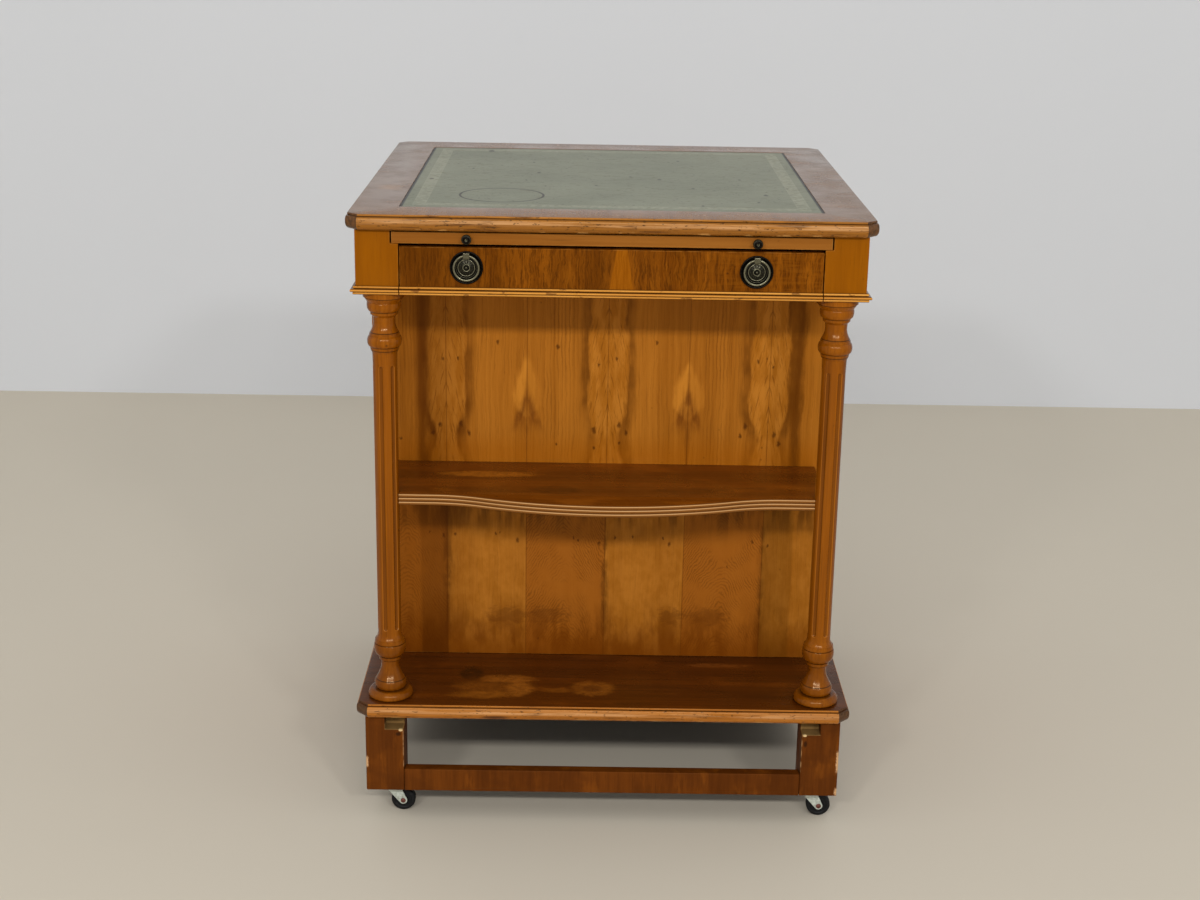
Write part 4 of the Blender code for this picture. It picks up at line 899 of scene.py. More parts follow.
def yew_finish(name, across_axis, has_shelf):
    material, bench, place, shader = new_finish(name, Specular_IOR_Level=0.12, Specular_Tint=WARM)
    x, y, up = bench.split(place)
    across = x if across_axis == "X" else y
    odd, ways, spot = yew_leaves(bench, across, up)
    swayed = bench.join(ways[1], bench.times(across, LEAF_DRIFT), up)
    base, fibre = wood_tones(bench, swayed, "Z", tint(178, 110, 32), tint(151, 88, 18), 460.0, 9.0, 0.4)
    base = bench.shade(base, bench.clouds(swayed, (760, 760, 13), 0.54, 0.66), 0.32, tint(112, 60, 8))
    colour = yew_flames(bench, ways, up, spot, base)
    colour = yew_spears(bench, odd, ways, up, spot, colour)
    if has_shelf:
        lower = yew_lower(bench, odd, ways, across, up, spot, base)
        colour = bench.mix(bench.fade(up, SHELF_LEVEL - 0.001, SHELF_LEVEL), lower, colour)
        colour = yew_strips(bench, ways, across, up, colour)
        colour = bench.shade(colour, yew_pips(bench, place, across, up), 0.75, tint(70, 30, 2))
    joint = bench.most(bench.fade(ways[0], JOINT_WIDE, JOINT_FINE),
                       bench.fade(ways[0], LEAF - JOINT_WIDE, LEAF - JOINT_FINE))
    colour = bench.shade(colour, joint, 0.55, tint(88, 40, 1))
    wear_and_polish(bench, place, shader, colour, fibre, tint(190, 130, 60), 0.3, (0.3, 0.46), 0.6)
    return material


yew_front = yew_finish("yew_front", "X", True)
yew_side = yew_finish("yew_side", "Y", False)
yew_back = yew_finish("yew_back", "X", False)
print("made", [wood.name for wood in (yew_front, yew_side, yew_back)])

# %% [markdown]
# Both shelves have dark, reddish brown faces with cloudy figure, much darker than the panel because they
# face upwards under a thick old polish, and each has pale patches where the polish is gone. The middle one
# has three reeds along its front, rubbed pale on their crests, painted dark in the furrows between them as
# painted shade, and marked with an attribute.

# %% Shelf finishes
def shelf_finish(name, pale, dark, streak_colour, patches):
    """A dark shelf with pale patches given as middle, reach, colour and strength."""
    material, bench, place, shader = new_finish(name, Specular_IOR_Level=0.25, Specular_Tint=WARM)
    colour, fibre = wood_tones(bench, place, "X", pale, dark, 300.0, 9.0, 0.7)
    colour = bench.shade(colour, bench.clouds(place, (9, 24, 1), 0.52, 0.70, 4), 0.5, streak_colour)
    flat = bench.split(place)[:2]
    ragged = bench.swing(bench.noise(bench.stretch(place, (44, 70, 1)), 1.0, 5, 0.7, 0.8), 2.2)
    blotched = bench.reckon("MULTIPLY_ADD", bench.clouds(place, (120, 170, 1), 0.34, 0.60, 4), 0.45, 0.55)
    for middle, reach, shade, strength in patches:
        spot = bench.times(bench.patch(flat, middle, reach, ragged), blotched)
        colour = bench.shade(colour, spot, strength, shade)
    return material, bench, place, shader, colour, fibre


MIDDLE_PATCHES = (((-0.142, -0.187), (0.062, 0.013), tint(170, 100, 22), 0.7),
                  ((-0.060, -0.245), (0.034, 0.015), tint(56, 25, 2), 0.6),
                  ((0.095, -0.240), (0.040, 0.012), tint(60, 28, 2), 0.5))
SHELF_WORN = tint(150, 90, 36)
REEDS = 3
REED_LOW, REED_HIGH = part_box("middle_shelf")
REED_PITCH = (REED_HIGH.z - REED_LOW.z) / REEDS
middle_wood, bench, place, shader, colour, fibre = shelf_finish(
    "middle_shelf_wood", tint(114, 57, 6), tint(78, 36, 2), tint(136, 72, 10), MIDDLE_PATCHES)
rise = bench.less(bench.split(place)[2], REED_LOW.z)
reed_turn = bench.reckon("FRACT", bench.reckon("DIVIDE", rise, REED_PITCH))
on_reed = bench.attribute("reed")
colour = bench.shade(colour, on_reed, 0.85, tint(134, 84, 34))
# painted shade: the furrows between the reeds are darkened
furrow_shade = bench.times(bench.fade(bench.off(reed_turn, 0.5), 0.28, 0.46), on_reed)
colour = bench.shade(colour, furrow_shade, 0.75, tint(74, 38, 8))
crest = bench.times(bench.hump(reed_turn, 0.70, 0.14), on_reed)
colour = bench.shade(colour, crest, 0.8, tint(214, 170, 116))
wear_and_polish(bench, place, shader, colour, fibre, SHELF_WORN, 0.3, (0.22, 0.4))

BOTTOM_PATCHES = (((-0.130, -0.240), (0.056, 0.028), tint(124, 68, 15), 0.60),
                  ((-0.118, -0.214), (0.036, 0.013), tint(152, 88, 24), 0.60),
                  ((-0.103, -0.240), (0.019, 0.027), tint(152, 88, 24), 0.60),
                  ((-0.146, -0.262), (0.046, 0.011), tint(140, 80, 18), 0.55),
                  ((-0.164, -0.200), (0.016, 0.024), tint(30, 14, 3), 0.75),
                  ((-0.012, -0.240), (0.029, 0.023), tint(140, 80, 20), 0.75),
                  ((-0.014, -0.240), (0.016, 0.012), tint(84, 42, 8), 0.9),
                  ((-0.056, -0.246), (0.020, 0.009), tint(130, 72, 16), 0.55),
                  ((0.145, -0.165), (0.046, 0.007), tint(140, 78, 26), 0.4))
bottom_wood, bench, place, shader, colour, fibre = shelf_finish(
    "bottom_shelf_wood", tint(90, 42, 4), tint(60, 26, 2), tint(106, 52, 7), BOTTOM_PATCHES)
wear_and_polish(bench, place, shader, colour, fibre, SHELF_WORN, 0.3, (0.18, 0.34))
print("reed pitch", round(REED_PITCH * 1000, 2), "mm")

# %% [markdown]
# The plinth is a duller, darker brown with upright grain, even on its rail. Only a few chips show pale wood
# on its arrises. A dark screw hole sits under each empty notch, and the notch itself was never polished, so
# its ledge is left greyish, while the upper part of its wall is painted dark as painted shade under the
# shelf.

# %% Plinth finish
plinth_wood, bench, place, shader = new_finish("plinth_wood", Specular_IOR_Level=0.12, Specular_Tint=WARM)
x, y, z = bench.split(place)
wide_x = bench.reckon("ABSOLUTE", x)
colour, fibre = wood_tones(bench, place, "Z", tint(108, 55, 11), tint(84, 40, 6), 300.0, 12.0)
colour = bench.shade(colour, bench.clouds(place, (44, 44, 9), 0.46, 0.64), 0.45, tint(70, 31, 4))
colour = bench.shade(colour, bench.clouds(place, (70, 70, 16), 0.54, 0.68), 0.35, tint(134, 72, 16))
colour = bench.shade(colour, bench.clouds(place, (15, 15, 24), 0.46, 0.60), 0.35, tint(72, 33, 6))

POST_LOW, POST_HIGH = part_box("plinth_post_right")
SCREW_HOLES = (((-0.2475, 0.1155), (0.0036, 0.0030)), ((0.2460, 0.1095), (0.0026, 0.0050)))
LEDGE_CHIP = (POST_LOW.x + 0.0035, POST_HIGH.z - 0.0190)
ragged = bench.swing(bench.noise(place, 130, 3), 1.6)
on_front = bench.fade(y, POST_LOW.y + 0.004, POST_LOW.y + 0.003)
for middle, reach in SCREW_HOLES:
    hole = bench.patch((x, z), middle, reach, bench.times(ragged, 0.5))
    colour = bench.shade(colour, bench.times(hole, on_front), 0.8, tint(34, 16, 6))
raw = bench.mix(bench.noise(place, 90, 3), tint(150, 117, 70), tint(104, 76, 40))
# painted shade: the upper part of the notch's wall, under the shelf, is darkened
raw = bench.shade(raw, bench.fade(z, POST_HIGH.z - 0.0130, POST_HIGH.z - 0.0095), 0.9, tint(52, 24, 8))
colour = bench.mix(bench.attribute("bare"), colour, raw)
splinter = bench.patch((wide_x, z), LEDGE_CHIP, (0.0026, 0.0016), ragged)
colour = bench.shade(colour, bench.times(splinter, on_front), 0.85, tint(226, 194, 138))

POST_CHIPS = (((POST_HIGH.x, 0.085), (0.010, 0.016)), ((POST_HIGH.x, 0.046), (0.014, 0.006)),
              ((-POST_HIGH.x, 0.078), (0.010, 0.008)))
RAIL_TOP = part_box("plinth_rail")[1].z
chips = bench.most(*[bench.patch((x, z), middle, reach, ragged) for middle, reach in POST_CHIPS])
splintered = bench.swing(bench.noise(place, 480, 3, 0.6), 0.0056)
near_arris = bench.fade(bench.reckon("ADD", wide_x, splintered), POST_HIGH.x - 0.0034, POST_HIGH.x - 0.0014)
near_front = bench.fade(bench.reckon("ADD", y, splintered), POST_LOW.y + 0.0030, POST_LOW.y + 0.0012)
colour = bench.shade(colour, bench.times(chips, near_arris, near_front), 0.85, tint(214, 168, 120))
above_rail = bench.fade(z, RAIL_TOP + 0.002, RAIL_TOP + 0.006)
inner = bench.times(bench.hump(wide_x, POST_LOW.x, 0.004), above_rail, 0.5)
worn = bench.mix(bench.times(inner, on_front), colour, tint(206, 162, 110))
wear_and_polish(bench, place, shader, colour, fibre, worn, 1.0, (0.42, 0.6))
print("plinth post is", round((POST_HIGH.x - POST_LOW.x) * 1000, 1), "mm wide")

# %% [markdown]
# The pulls and knobs are blackened bronze. Paler metal is painted on the raised parts: partly bronze rubbed
# by hands and time, partly a painted highlight on rims, rings and knob centres. An attribute named crown, set
# on the raised rings when the pieces are turned, tells the shader where the pale metal goes. The casters are
# dull zinc plate with rusty rivets, and their wheels are black rubber.

# %% Metals and rubber
RELIEF = 0.0001
bronze, bench, place, shader = new_finish("blackened_bronze", Specular_IOR_Level=0.5, Metallic=0.9)
mottle = bench.clouds(place, (420, 420, 420), 0.35, 0.65, 4)
colour = bench.mix(mottle, tint(11, 9, 7), tint(25, 22, 17))
# pale metal on the crowns: partly rubbed bronze, partly painted highlight
rubbed_and_highlight = bench.times(bench.attribute("crown"), bench.clouds(place, (300, 300, 300), 0.12, 0.40))
bench.link(bench.shade(colour, rubbed_and_highlight, 1.0, tint(166, 161, 130)), shader["Base Color"])
set_gloss(bench, shader, mottle, (0.22, 0.38))
roughen(bench, shader, mottle, 0.1, RELIEF)


def spotted(name, pale, dark, spot_colour, metallic, rough, amount, specular=0.5):
    """A mottled metal or rubber with spots of rust or dust."""
    material, bench, place, shader = new_finish(name, Metallic=metallic, Specular_IOR_Level=specular)
    mottle = bench.clouds(place, (260, 260, 260), 0.30, 0.70, 4)
    spots = bench.clouds(place, (330, 330, 330), 0.58, 0.68)
    bench.link(bench.shade(bench.mix(mottle, dark, pale), spots, amount, spot_colour), shader["Base Color"])
    set_gloss(bench, shader, mottle, rough)
    roughen(bench, shader, mottle, 0.15, RELIEF)
    return material


zinc = spotted("zinc_plate", tint(206, 212, 200), tint(168, 174, 162), tint(128, 120, 96),
               metallic=0.35, rough=(0.4, 0.6), amount=0.5)
rivet = spotted("rusty_rivet", tint(122, 72, 58), tint(84, 42, 34), tint(62, 26, 16),
                metallic=0.4, rough=(0.45, 0.65), amount=0.7)
rubber = spotted("black_rubber", tint(22, 22, 23), tint(12, 12, 13), tint(60, 57, 52),
                 metallic=0.0, rough=(0.42, 0.62), amount=0.25, specular=0.2)
print("made", [metal.name for metal in (bronze, zinc, rivet, rubber)])

# %% [markdown]
# Now the pieces. Each one is built in a bmesh, welded, turned into a mesh at the origin, and told which CAD
# node it stands for. One function does that closing work for all of them, so no piece forgets a step.


# %% Closing a piece
piece_count = 0
LAYERS = ("arris", "cant", "reed", "bare", "crown")


def start_piece():
    bm = bmesh.new()
    for layer in LAYERS:
        bm.faces.layers.float.new(layer)
    return bm


def mark(bm, faces, layer, amount=1.0):
    value = bm.faces.layers.float[layer]
    for face in faces:
        face[value] = amount


def close_piece(bm, node, finishes, smooth=None):
    """Welds the shape, gives it its finishes and lets it stand for the CAD node."""
    global piece_count
    bmesh.ops.remove_doubles(bm, verts=bm.verts[:], dist=1e-6)
    bmesh.ops.recalc_face_normals(bm, faces=bm.faces[:])
    mesh = bpy.data.meshes.new(f"dressed_{node}")
    bm.to_mesh(mesh)
    bm.free()
    for layer in LAYERS:
        if not any(item.value for item in mesh.attributes[layer].data):
            mesh.attributes.remove(mesh.attributes[layer])
    if smooth is not None:
        mesh.shade_smooth()
        mesh.set_sharp_from_angle(angle=math.radians(smooth))
    for finish in finishes:
        mesh.materials.append(finish)
    piece = bpy.data.objects.new(mesh.name, mesh)
    bpy.context.scene.collection.objects.link(piece)
    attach(piece, node_body[node])
    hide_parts(node)
    piece_count += 1
    return piece


print("pieces close onto their nodes")

# %% [markdown]
# Many pieces are plain boards with eased arrises. A cube scaled to the node's box and bevelled makes each
# one, and the bevel's new faces are marked as arrises for the wear. The bevel is two cuts wide, because a
# sharp cube edge never catches light and looks false.

# %% Dressed boards
ARRIS = 0.0008
THIN_ARRIS = 0.0004
RAIL_ARRIS = 0.0010
PLINTH_ARRIS = 0.0012
POST_ARRIS = 0.0014


def ease(bm, edges, width=ARRIS):
    made = bmesh.ops.bevel(bm, geom=edges, offset=width, offset_type="OFFSET", affect="EDGES", segments=2,
                           profile=0.5, material=-1, clamp_overlap=True)
    mark(bm, made["faces"], "arris")
    for face in made["faces"]:
        face.smooth = True


def cut_board(bm, low, high):
    made = bmesh.ops.create_cube(bm, size=1)["verts"]
    bmesh.ops.scale(bm, vec=high - low, verts=made)
    bmesh.ops.translate(bm, vec=(low + high) / 2, verts=made)


def dressed_board(node, finish, width=ARRIS):
    bm = start_piece()
    cut_board(bm, *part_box(node))
    ease(bm, bm.edges[:], width)
    close_piece(bm, node, [finish])


dressed_board("leather_inset", leather, THIN_ARRIS)
dressed_board("writing_slide", slide_wood)
dressed_board("drawer_front", drawer_veneer)
dressed_board("frieze_back", honey)
dressed_board("bay_panel", yew_front)
dressed_board("body_back", yew_back)
for side in SIDES:
    dressed_board(f"frieze_side_{side}", honey)
    dressed_board(f"body_side_{side}", yew_side)
    dressed_board(f"plinth_side_{side}", plinth_wood, PLINTH_ARRIS)
    dressed_board(f"plinth_rear_post_{side}", plinth_wood, POST_ARRIS)
dressed_board("plinth_rail", plinth_wood, RAIL_ARRIS)
dressed_board("plinth_back", plinth_wood, PLINTH_ARRIS)
dressed_board("drawer_bottom", raw_cross, THIN_ARRIS)
dressed_board("drawer_back", raw_cross)
print(piece_count, "boards dressed")

# %% [markdown]
# The frieze's corner blocks and the bearers behind them have their upper inner corner cut away for the
# slide, and the drawer's sides are grooved for its bottom. A section drawn once as a face and extruded
# backwards gives each of them, and the bevel follows. A Boolean cut would work too, but it leaves odd
# triangles where the bevel wants clean edges. The board under the drawer is right as it is and only gets
# its finish.

# %% Frieze blocks, bearers and drawer sides
def extrude(bm, faces, step=(0, 0, 0)):
    """Extrudes faces by a step and gives back the new points and the new faces."""
    grown = bmesh.ops.extrude_face_region(bm, geom=faces)["geom"]
    points = [item for item in grown if isinstance(item, bmesh.types.BMVert)]
    bmesh.ops.translate(bm, vec=step, verts=points)
    return points, [item for item in grown if isinstance(item, bmesh.types.BMFace)]


def side_reach(node):
    """The distances of a side piece's inner and outer faces from the middle."""
    return sorted(abs(corner.x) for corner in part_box(node))


def from_section(node, finish, section, sign, width=ARRIS):
    """A piece with one section all along Y, given as points of X and Z on the right-hand side."""
    low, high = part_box(node)
    bm = start_piece()
    face = bm.faces.new([bm.verts.new((sign * x, low.y, z)) for x, z in section])
    extrude(bm, [face], (0, high.y - low.y, 0))
    ease(bm, bm.edges[:], width)
    close_piece(bm, node, [finish])


PLAY = 0.0003
SLOT_HALF = 0.2479
SLOT_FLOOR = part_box("writing_slide")[0].z - PLAY
GROOVE_DEPTH = 0.005
GROOVE_ARRIS = 0.0005
GROOVE_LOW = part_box("drawer_bottom")[0].z - PLAY
GROOVE_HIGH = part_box("drawer_bottom")[1].z + PLAY
for side, sign in SIDES.items():
    for node, finish in ((f"frieze_block_{side}", honey), (f"bearer_{side}", raw_wood)):
        low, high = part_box(node)
        inner, outer = side_reach(node)
        section = [(inner, low.z), (outer, low.z), (outer, high.z)]
        section += [(SLOT_HALF, high.z), (SLOT_HALF, SLOT_FLOOR), (inner, SLOT_FLOOR)]
        from_section(node, finish, section, sign)
    node = f"drawer_side_{side}"
    low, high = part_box(node)
    inner, outer = side_reach(node)
    groove = inner + GROOVE_DEPTH
    section = [(outer, low.z), (outer, high.z), (inner, high.z), (inner, GROOVE_HIGH)]
    section += [(groove, GROOVE_HIGH), (groove, GROOVE_LOW), (inner, GROOVE_LOW), (inner, low.z)]
    from_section(node, raw_wood, section, sign, GROOVE_ARRIS)
frame["nodes"]["dust_board"].data.materials.clear()
frame["nodes"]["dust_board"].data.materials.append(raw_wood)
print("slot floor", round(SLOT_FLOOR, 4))

# %% [markdown]
# The moulded boards and the serpentine shelf are grown: one face at the bottom is extruded ring by ring, and
# every new ring is set on an outline of its own. That gives clean bands of faces all round, where a bevel on
# a block could only follow one simple curve.


# %% Growing a board
def arc(middle, radii, start, end, steps):
    points = []
    for count in range(steps + 1):
        angle = math.radians(start + (end - start) * count / steps)
        points.append((middle[0] + radii[0] * math.cos(angle), middle[1] + radii[1] * math.sin(angle)))
    return points


def canted_plan(low, high, inset, cant):
    corners = []
    for sign_x, sign_y in ((1, 1), (-1, 1), (-1, -1), (1, -1)):
        end_x = high.x - inset if sign_x > 0 else low.x + inset
        end_y = high.y - inset if sign_y > 0 else low.y + inset
        pair = [(end_x, end_y - sign_y * cant), (end_x - sign_x * cant, end_y)]
        corners += pair if sign_x == sign_y else pair[::-1]
    return corners


def grow(bm, face, rings):
    """Extrudes a face through rings of points, and gives back the face that ends it."""
    for ring in rings:
        last = face
        face = extrude(bm, [last])[1][0]
        bmesh.ops.delete(bm, geom=[last], context="FACES_ONLY")
        for vert, spot in zip(face.verts, ring):
            vert.co = spot
    return face


def grow_board(bm, rings):
    bottom = bm.faces.new([bm.verts.new(spot) for spot in rings[0]])
    return grow(bm, bottom.copy(verts=False), rings[1:])


print("a quarter arc in four steps has", len(arc((0, 0), (1, 1), 0, 90, 4)), "points")

# %% [markdown]
# The top and the bottom shelf are the same board: eight-cornered in plan, with a thumb-moulded nose, a dark
# crease and a square fillet. Each ring is drawn in by the inset that a joiner's cutter would leave at that
# height. The top ends in a recess for the leather.

# %% Moulded boards
CANT = 0.014
FILLET_INSET = 0.0025
FILLET_HEIGHT = 0.003
QUIRK = 0.0008
NOSE_TUCK = 0.005
NOSE_RISE = 0.007
NOSE_FLAT = 0.0025
GLUE_GAP = 0.0003


def moulded_rings(low, high):
    quirk = high.z - low.z - FILLET_HEIGHT
    shoulder = NOSE_RISE + NOSE_FLAT
    profile = arc((NOSE_TUCK, NOSE_RISE), (NOSE_TUCK, NOSE_RISE), 270, 180, 10)
    profile += arc((FILLET_INSET, shoulder), (FILLET_INSET, quirk - shoulder), 180, 90, 9)
    profile += [(FILLET_INSET + QUIRK, quirk), (FILLET_INSET, quirk + QUIRK)]
    profile += arc((FILLET_INSET + ARRIS, high.z - low.z - ARRIS), (ARRIS, ARRIS), 180, 90, 3)
    rings = []
    for inset, rise in profile:
        plan = canted_plan(low, high, inset, CANT - (2 - math.sqrt(2)) * inset)
        rings.append([(x, y, low.z + rise) for x, y in plan])
    return rings


def moulded_board(node, face_finish, nose, recess=None):
    low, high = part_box(node)
    bm = start_piece()
    face = grow_board(bm, moulded_rings(low, high))
    if recess:
        inner_low, inner_high, floor_level = recess
        plan = canted_plan(inner_low, inner_high, 0, 0)
        grow(bm, face, [[(x, y, level) for x, y in plan] for level in (high.z, floor_level)])
    bm.normal_update()
    for face in bm.faces:
        on_top = face.normal.z > 0.9 and face.calc_center_median().z > high.z - 0.004
        face.material_index = 0 if on_top else 1
        face.smooth = True
        if min(abs(face.normal.x), abs(face.normal.y)) > 0.25:
            mark(bm, [face], "cant")
    close_piece(bm, node, [face_finish, nose], smooth=32)


gap = Vector((GLUE_GAP, GLUE_GAP, 0))
recess = (LEATHER_LOW - gap, LEATHER_HIGH + gap, LEATHER_LOW.z - GLUE_GAP)
moulded_board("top_board", border, top_nose, recess)
moulded_board("bottom_shelf", bottom_wood, bottom_nose)
print("moulded boards grown in", len(moulded_rings(*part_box("top_board"))), "rings")

# %% [markdown]
# Three small beads run along the foot of the frieze: on the drawer, on both corner blocks, and back along
# the sides, with mitred corners. The strip's section is one row of points. The row is extruded along the
# strip, and its ends are slanted where the strip turns a corner.

# %% Beads
BEAD_REACHES = (0.0028, 0.0055, 0.0022)


def bead_section():
    radius = BEAD_PITCH / 2
    points = [(0, 0)]
    for count, reach in enumerate(BEAD_REACHES):
        points += arc((reach - radius, (count + 0.5) * BEAD_PITCH), (radius, radius), -85, 85, 8)
    return points + [(0, BEADS * BEAD_PITCH)]


def bead_strip(node, start, end):
    """A strip between two ends; each end turns the bead's reach into a place of X and Y."""
    bm = start_piece()
    section = bead_section()
    near = [(*start(reach), BEAD_LOW.z + height) for reach, height in section]
    far = [(*end(reach), BEAD_LOW.z + height) for reach, height in section]
    face = bm.faces.new([bm.verts.new(spot) for spot in near])
    for vert, spot in zip(extrude(bm, [face])[1][0].verts, far):
        vert.co = spot
    close_piece(bm, node, [bead_gold], smooth=50)


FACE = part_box("frieze_block_left")[0].y
SIDE_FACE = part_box("frieze_block_right")[1].x
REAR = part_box("frieze_side_left")[1].y
seat = FACE - GLUE_GAP
side_seat = SIDE_FACE + GLUE_GAP
bead_strip("drawer_bead", lambda reach: (BEAD_LOW.x, seat - reach), lambda reach: (BEAD_HIGH.x, seat - reach))
for side, sign in SIDES.items():
    inner_end = sign * side_reach(f"bead_block_{side}")[0]
    bead_strip(f"bead_block_{side}", lambda reach: (sign * (side_seat + reach), seat - reach),
               lambda reach: (inner_end, seat - reach))
    bead_strip(f"bead_side_{side}", lambda reach: (sign * (side_seat + reach), seat - reach + GLUE_GAP),
               lambda reach: (sign * (side_seat + reach), REAR))
print("bead strips along the frieze at", round(BEAD_LOW.z, 4))

# %% [markdown]
# The columns are turned on a lathe and then fluted. Their profile is a stack of mouldings: rounds, beads,
# square fillets and long flares, where the wood swells slowly from a neck. A full spin turns the profile,
# and the flutes are sunk afterwards by drawing the shaft's own points inwards, which keeps the mesh cleaner
# than a Boolean cut would. Each moulding has a height, and what it adds to the shaft at its foot and head.

# %% Column profile
FLARE_POWER = 1.8
MOULDING_STEPS = 9
BASE = (("straight", .0006, .0102, .0102), ("rising_round", .0022, .0108, .0133),
        ("round", .0080, .0133, .0064), ("straight", .0004, .0056, .0036),
        ("bead", .0115, .0032, .0054), ("flare", .0192, .0037, -.0031),
        ("straight", .0045, -.0031, -.0027), ("straight", .0014, -.0024, -.0010),
        ("straight", .0037, -.0007, -.0005), ("straight", .0015, -.0012, -.0008),
        ("rising_round", .0105, -.0003, .0053), ("round", .0050, .0053, .0043),
        ("straight", .0010, .0034, .0034), ("straight", .0045, .0045, .0037),
        ("flare", .0081, .0030, 0))
CAPITAL = (("straight", .0018, .0004, .0007), ("straight", .0024, .0009, .0020),
           ("straight", .0041, .0021, .0030), ("bead", .0130, .0028, .0060),
           ("straight", .0020, .0037, .0034), ("straight", .0018, .0029, .0026),
           ("flare", .0122, .0024, -.0013), ("straight", .0060, -.0013, -.0010),
           ("straight", .0028, -.0009, .0015), ("straight", .0034, .0018, .0022),
           ("rising_round", .0074, .0023, .0058), ("round", .0036, .0058, .0050),
           ("straight", .0048, .0053, .0083), ("straight", .0014, .0084, .0085),
           ("straight", .0058, .0100, .0103))


def moulded_profile(members):
    """Points of radius and height through mouldings stacked from the foot upwards."""
    points = []
    level = 0.0
    for shape, height, foot, head in members:
        low = SHAFT + foot
        high = SHAFT + head
        if shape == "straight":
            points += [(low, level), (high, level + height)]
        elif shape == "round":
            points += arc((high, level), (low - high, height), 0, 90, MOULDING_STEPS)
        elif shape == "rising_round":
            points += arc((low, level + height), (high - low, height), -90, 0, MOULDING_STEPS)
        elif shape == "flare":
            for share in [count / MOULDING_STEPS for count in range(MOULDING_STEPS + 1)]:
                points.append((high + (low - high) * (1 - share) ** FLARE_POWER, level + height * share))
        else:
            points += arc((low, level + height / 2), (high - low, height / 2), -75, 75, MOULDING_STEPS)
        level += height
    return points


base_profile = moulded_profile(BASE)
capital_profile = moulded_profile(CAPITAL)
BASE_HEIGHT = base_profile[-1][1]
CAPITAL_HEIGHT = capital_profile[-1][1]
print("base is", round(BASE_HEIGHT * 1000, 1), "mm high, capital", round(CAPITAL_HEIGHT * 1000, 1))

# %% [markdown]
# A lathe makes many of the pieces below: columns, knobs, plates, rivets and wheels. The profile stands up
# as a row of points beside the Z axis, and one full spin with merged ends closes it. Points on the axis
# itself come out once for every step, so they are merged as well.


# %% Turning
def spin_once(bm, geom, steps):
    bmesh.ops.spin(bm, geom=geom, cent=(0, 0, 0), axis=(0, 0, 1), dvec=(0, 0, 0), angle=2 * math.pi,
                   steps=steps, use_merge=True, use_normal_flip=False, use_duplicate=False)


def turn(bm, profile, steps):
    """Spins a row of (radius, height) points once round Z and returns the new points."""
    before = set(bm.verts)
    row = [bm.verts.new((radius, 0, height)) for radius, height in profile]
    spin_once(bm, row + [bm.edges.new(pair) for pair in zip(row, row[1:])], steps)
    bmesh.ops.remove_doubles(bm, verts=[v for v in bm.verts if v not in before], dist=1e-7)
    return [v for v in bm.verts if v not in before]


trial = bmesh.new()
print("a trial cone turned in 8 steps has", len(turn(trial, [(0, 0), (1, 0), (0, 1)], 8)), "points")
trial.free()

# %% [markdown]
# The flutes are round-bottomed grooves with round ends. For a point of the shaft, the depth follows from a
# ball-ended cutter of three millimetres radius that runs alongside: the point goes to where the cutter's
# surface is, if that is deeper than the shaft. The spin has 144 steps, so several fall across each flute.

# %% Fluting the columns
CUTTER = 0.003
FLUTE_DEPTH = 0.0020
FLUTES = 6
FLUTE_ABOVE_BASE = 0.0045
FLUTE_BELOW_CAPITAL = 0.013
TURN_STEPS = 144
FLUTE_TURN = {"left": math.radians(-15), "right": math.radians(27)}


def shaft_rows(bottom, top):
    """Heights of the shaft's rings: close together at the flutes' round ends, wider between."""
    rows = []
    for end, inwards in ((bottom, 1), (top, -1)):
        rows += [end + inwards * CUTTER * count / 6 for count in range(-1, 9)]
    span = top - bottom - 4 * CUTTER
    rows += [bottom + 2 * CUTTER + span * count / 12 for count in range(13)]
    return sorted(rows)


def sink_flutes(verts, bottom, top, first):
    distance = SHAFT + CUTTER - FLUTE_DEPTH
    step = 2 * math.pi / FLUTES
    for vert in verts:
        if not bottom - CUTTER < vert.co.z < top + CUTTER:
            continue
        past = max(bottom + CUTTER - vert.co.z, vert.co.z - top + CUTTER, 0)
        ball = CUTTER ** 2 - past ** 2
        angle = math.atan2(vert.co.x, -vert.co.y) - first
        from_flute = angle - step * round(angle / step)
        aside = distance * math.sin(from_flute)
        if ball > aside ** 2:
            radius = min(SHAFT, distance * math.cos(from_flute) - math.sqrt(ball - aside ** 2))
            vert.co.x, vert.co.y = Vector((vert.co.x, vert.co.y)) * (radius / SHAFT)


def turned_column(side):
    node = f"column_{side}"
    low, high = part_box(node)
    height = high.z - low.z
    shaft_top = height - CAPITAL_HEIGHT
    flute_bottom = BASE_HEIGHT + FLUTE_ABOVE_BASE
    flute_top = shaft_top - FLUTE_BELOW_CAPITAL
    profile = [(0, 0)] + base_profile + [(SHAFT, row) for row in shaft_rows(flute_bottom, flute_top)]
    profile += [(radius, shaft_top + level) for radius, level in capital_profile] + [(0, height)]
    bm = start_piece()
    verts = turn(bm, profile, TURN_STEPS)
    sink_flutes(verts, flute_bottom, flute_top, FLUTE_TURN[side])
    centre = middle_of(node)
    bmesh.ops.translate(bm, vec=(centre.x, centre.y, low.z), verts=bm.verts[:])
    return close_piece(bm, node, [column_wood], smooth=34)


for side in SIDES:
    column = turned_column(side)
    print(column.name, len(column.data.polygons), "faces")

# %% [markdown]
# The middle shelf has a serpentine front: a full belly that runs into a hollow on each side, and three reeds
# along the edge. The outline is grown upwards ring by ring like the moulded boards, with each ring set back
# a little in the furrows between the reeds. The ends are scooped out where they pass round the columns.

# %% Middle shelf
WAVE = 0.0345
WAVE_END = 0.053
HOLLOW = 0.176
BELLY = 0.0054
REED_DEPTH = 0.0012
REED_STEPS = 8
REED_FULLNESS = 0.8
EDGE_BEFORE = -0.2
BOARD_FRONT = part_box("top_board")[0].y


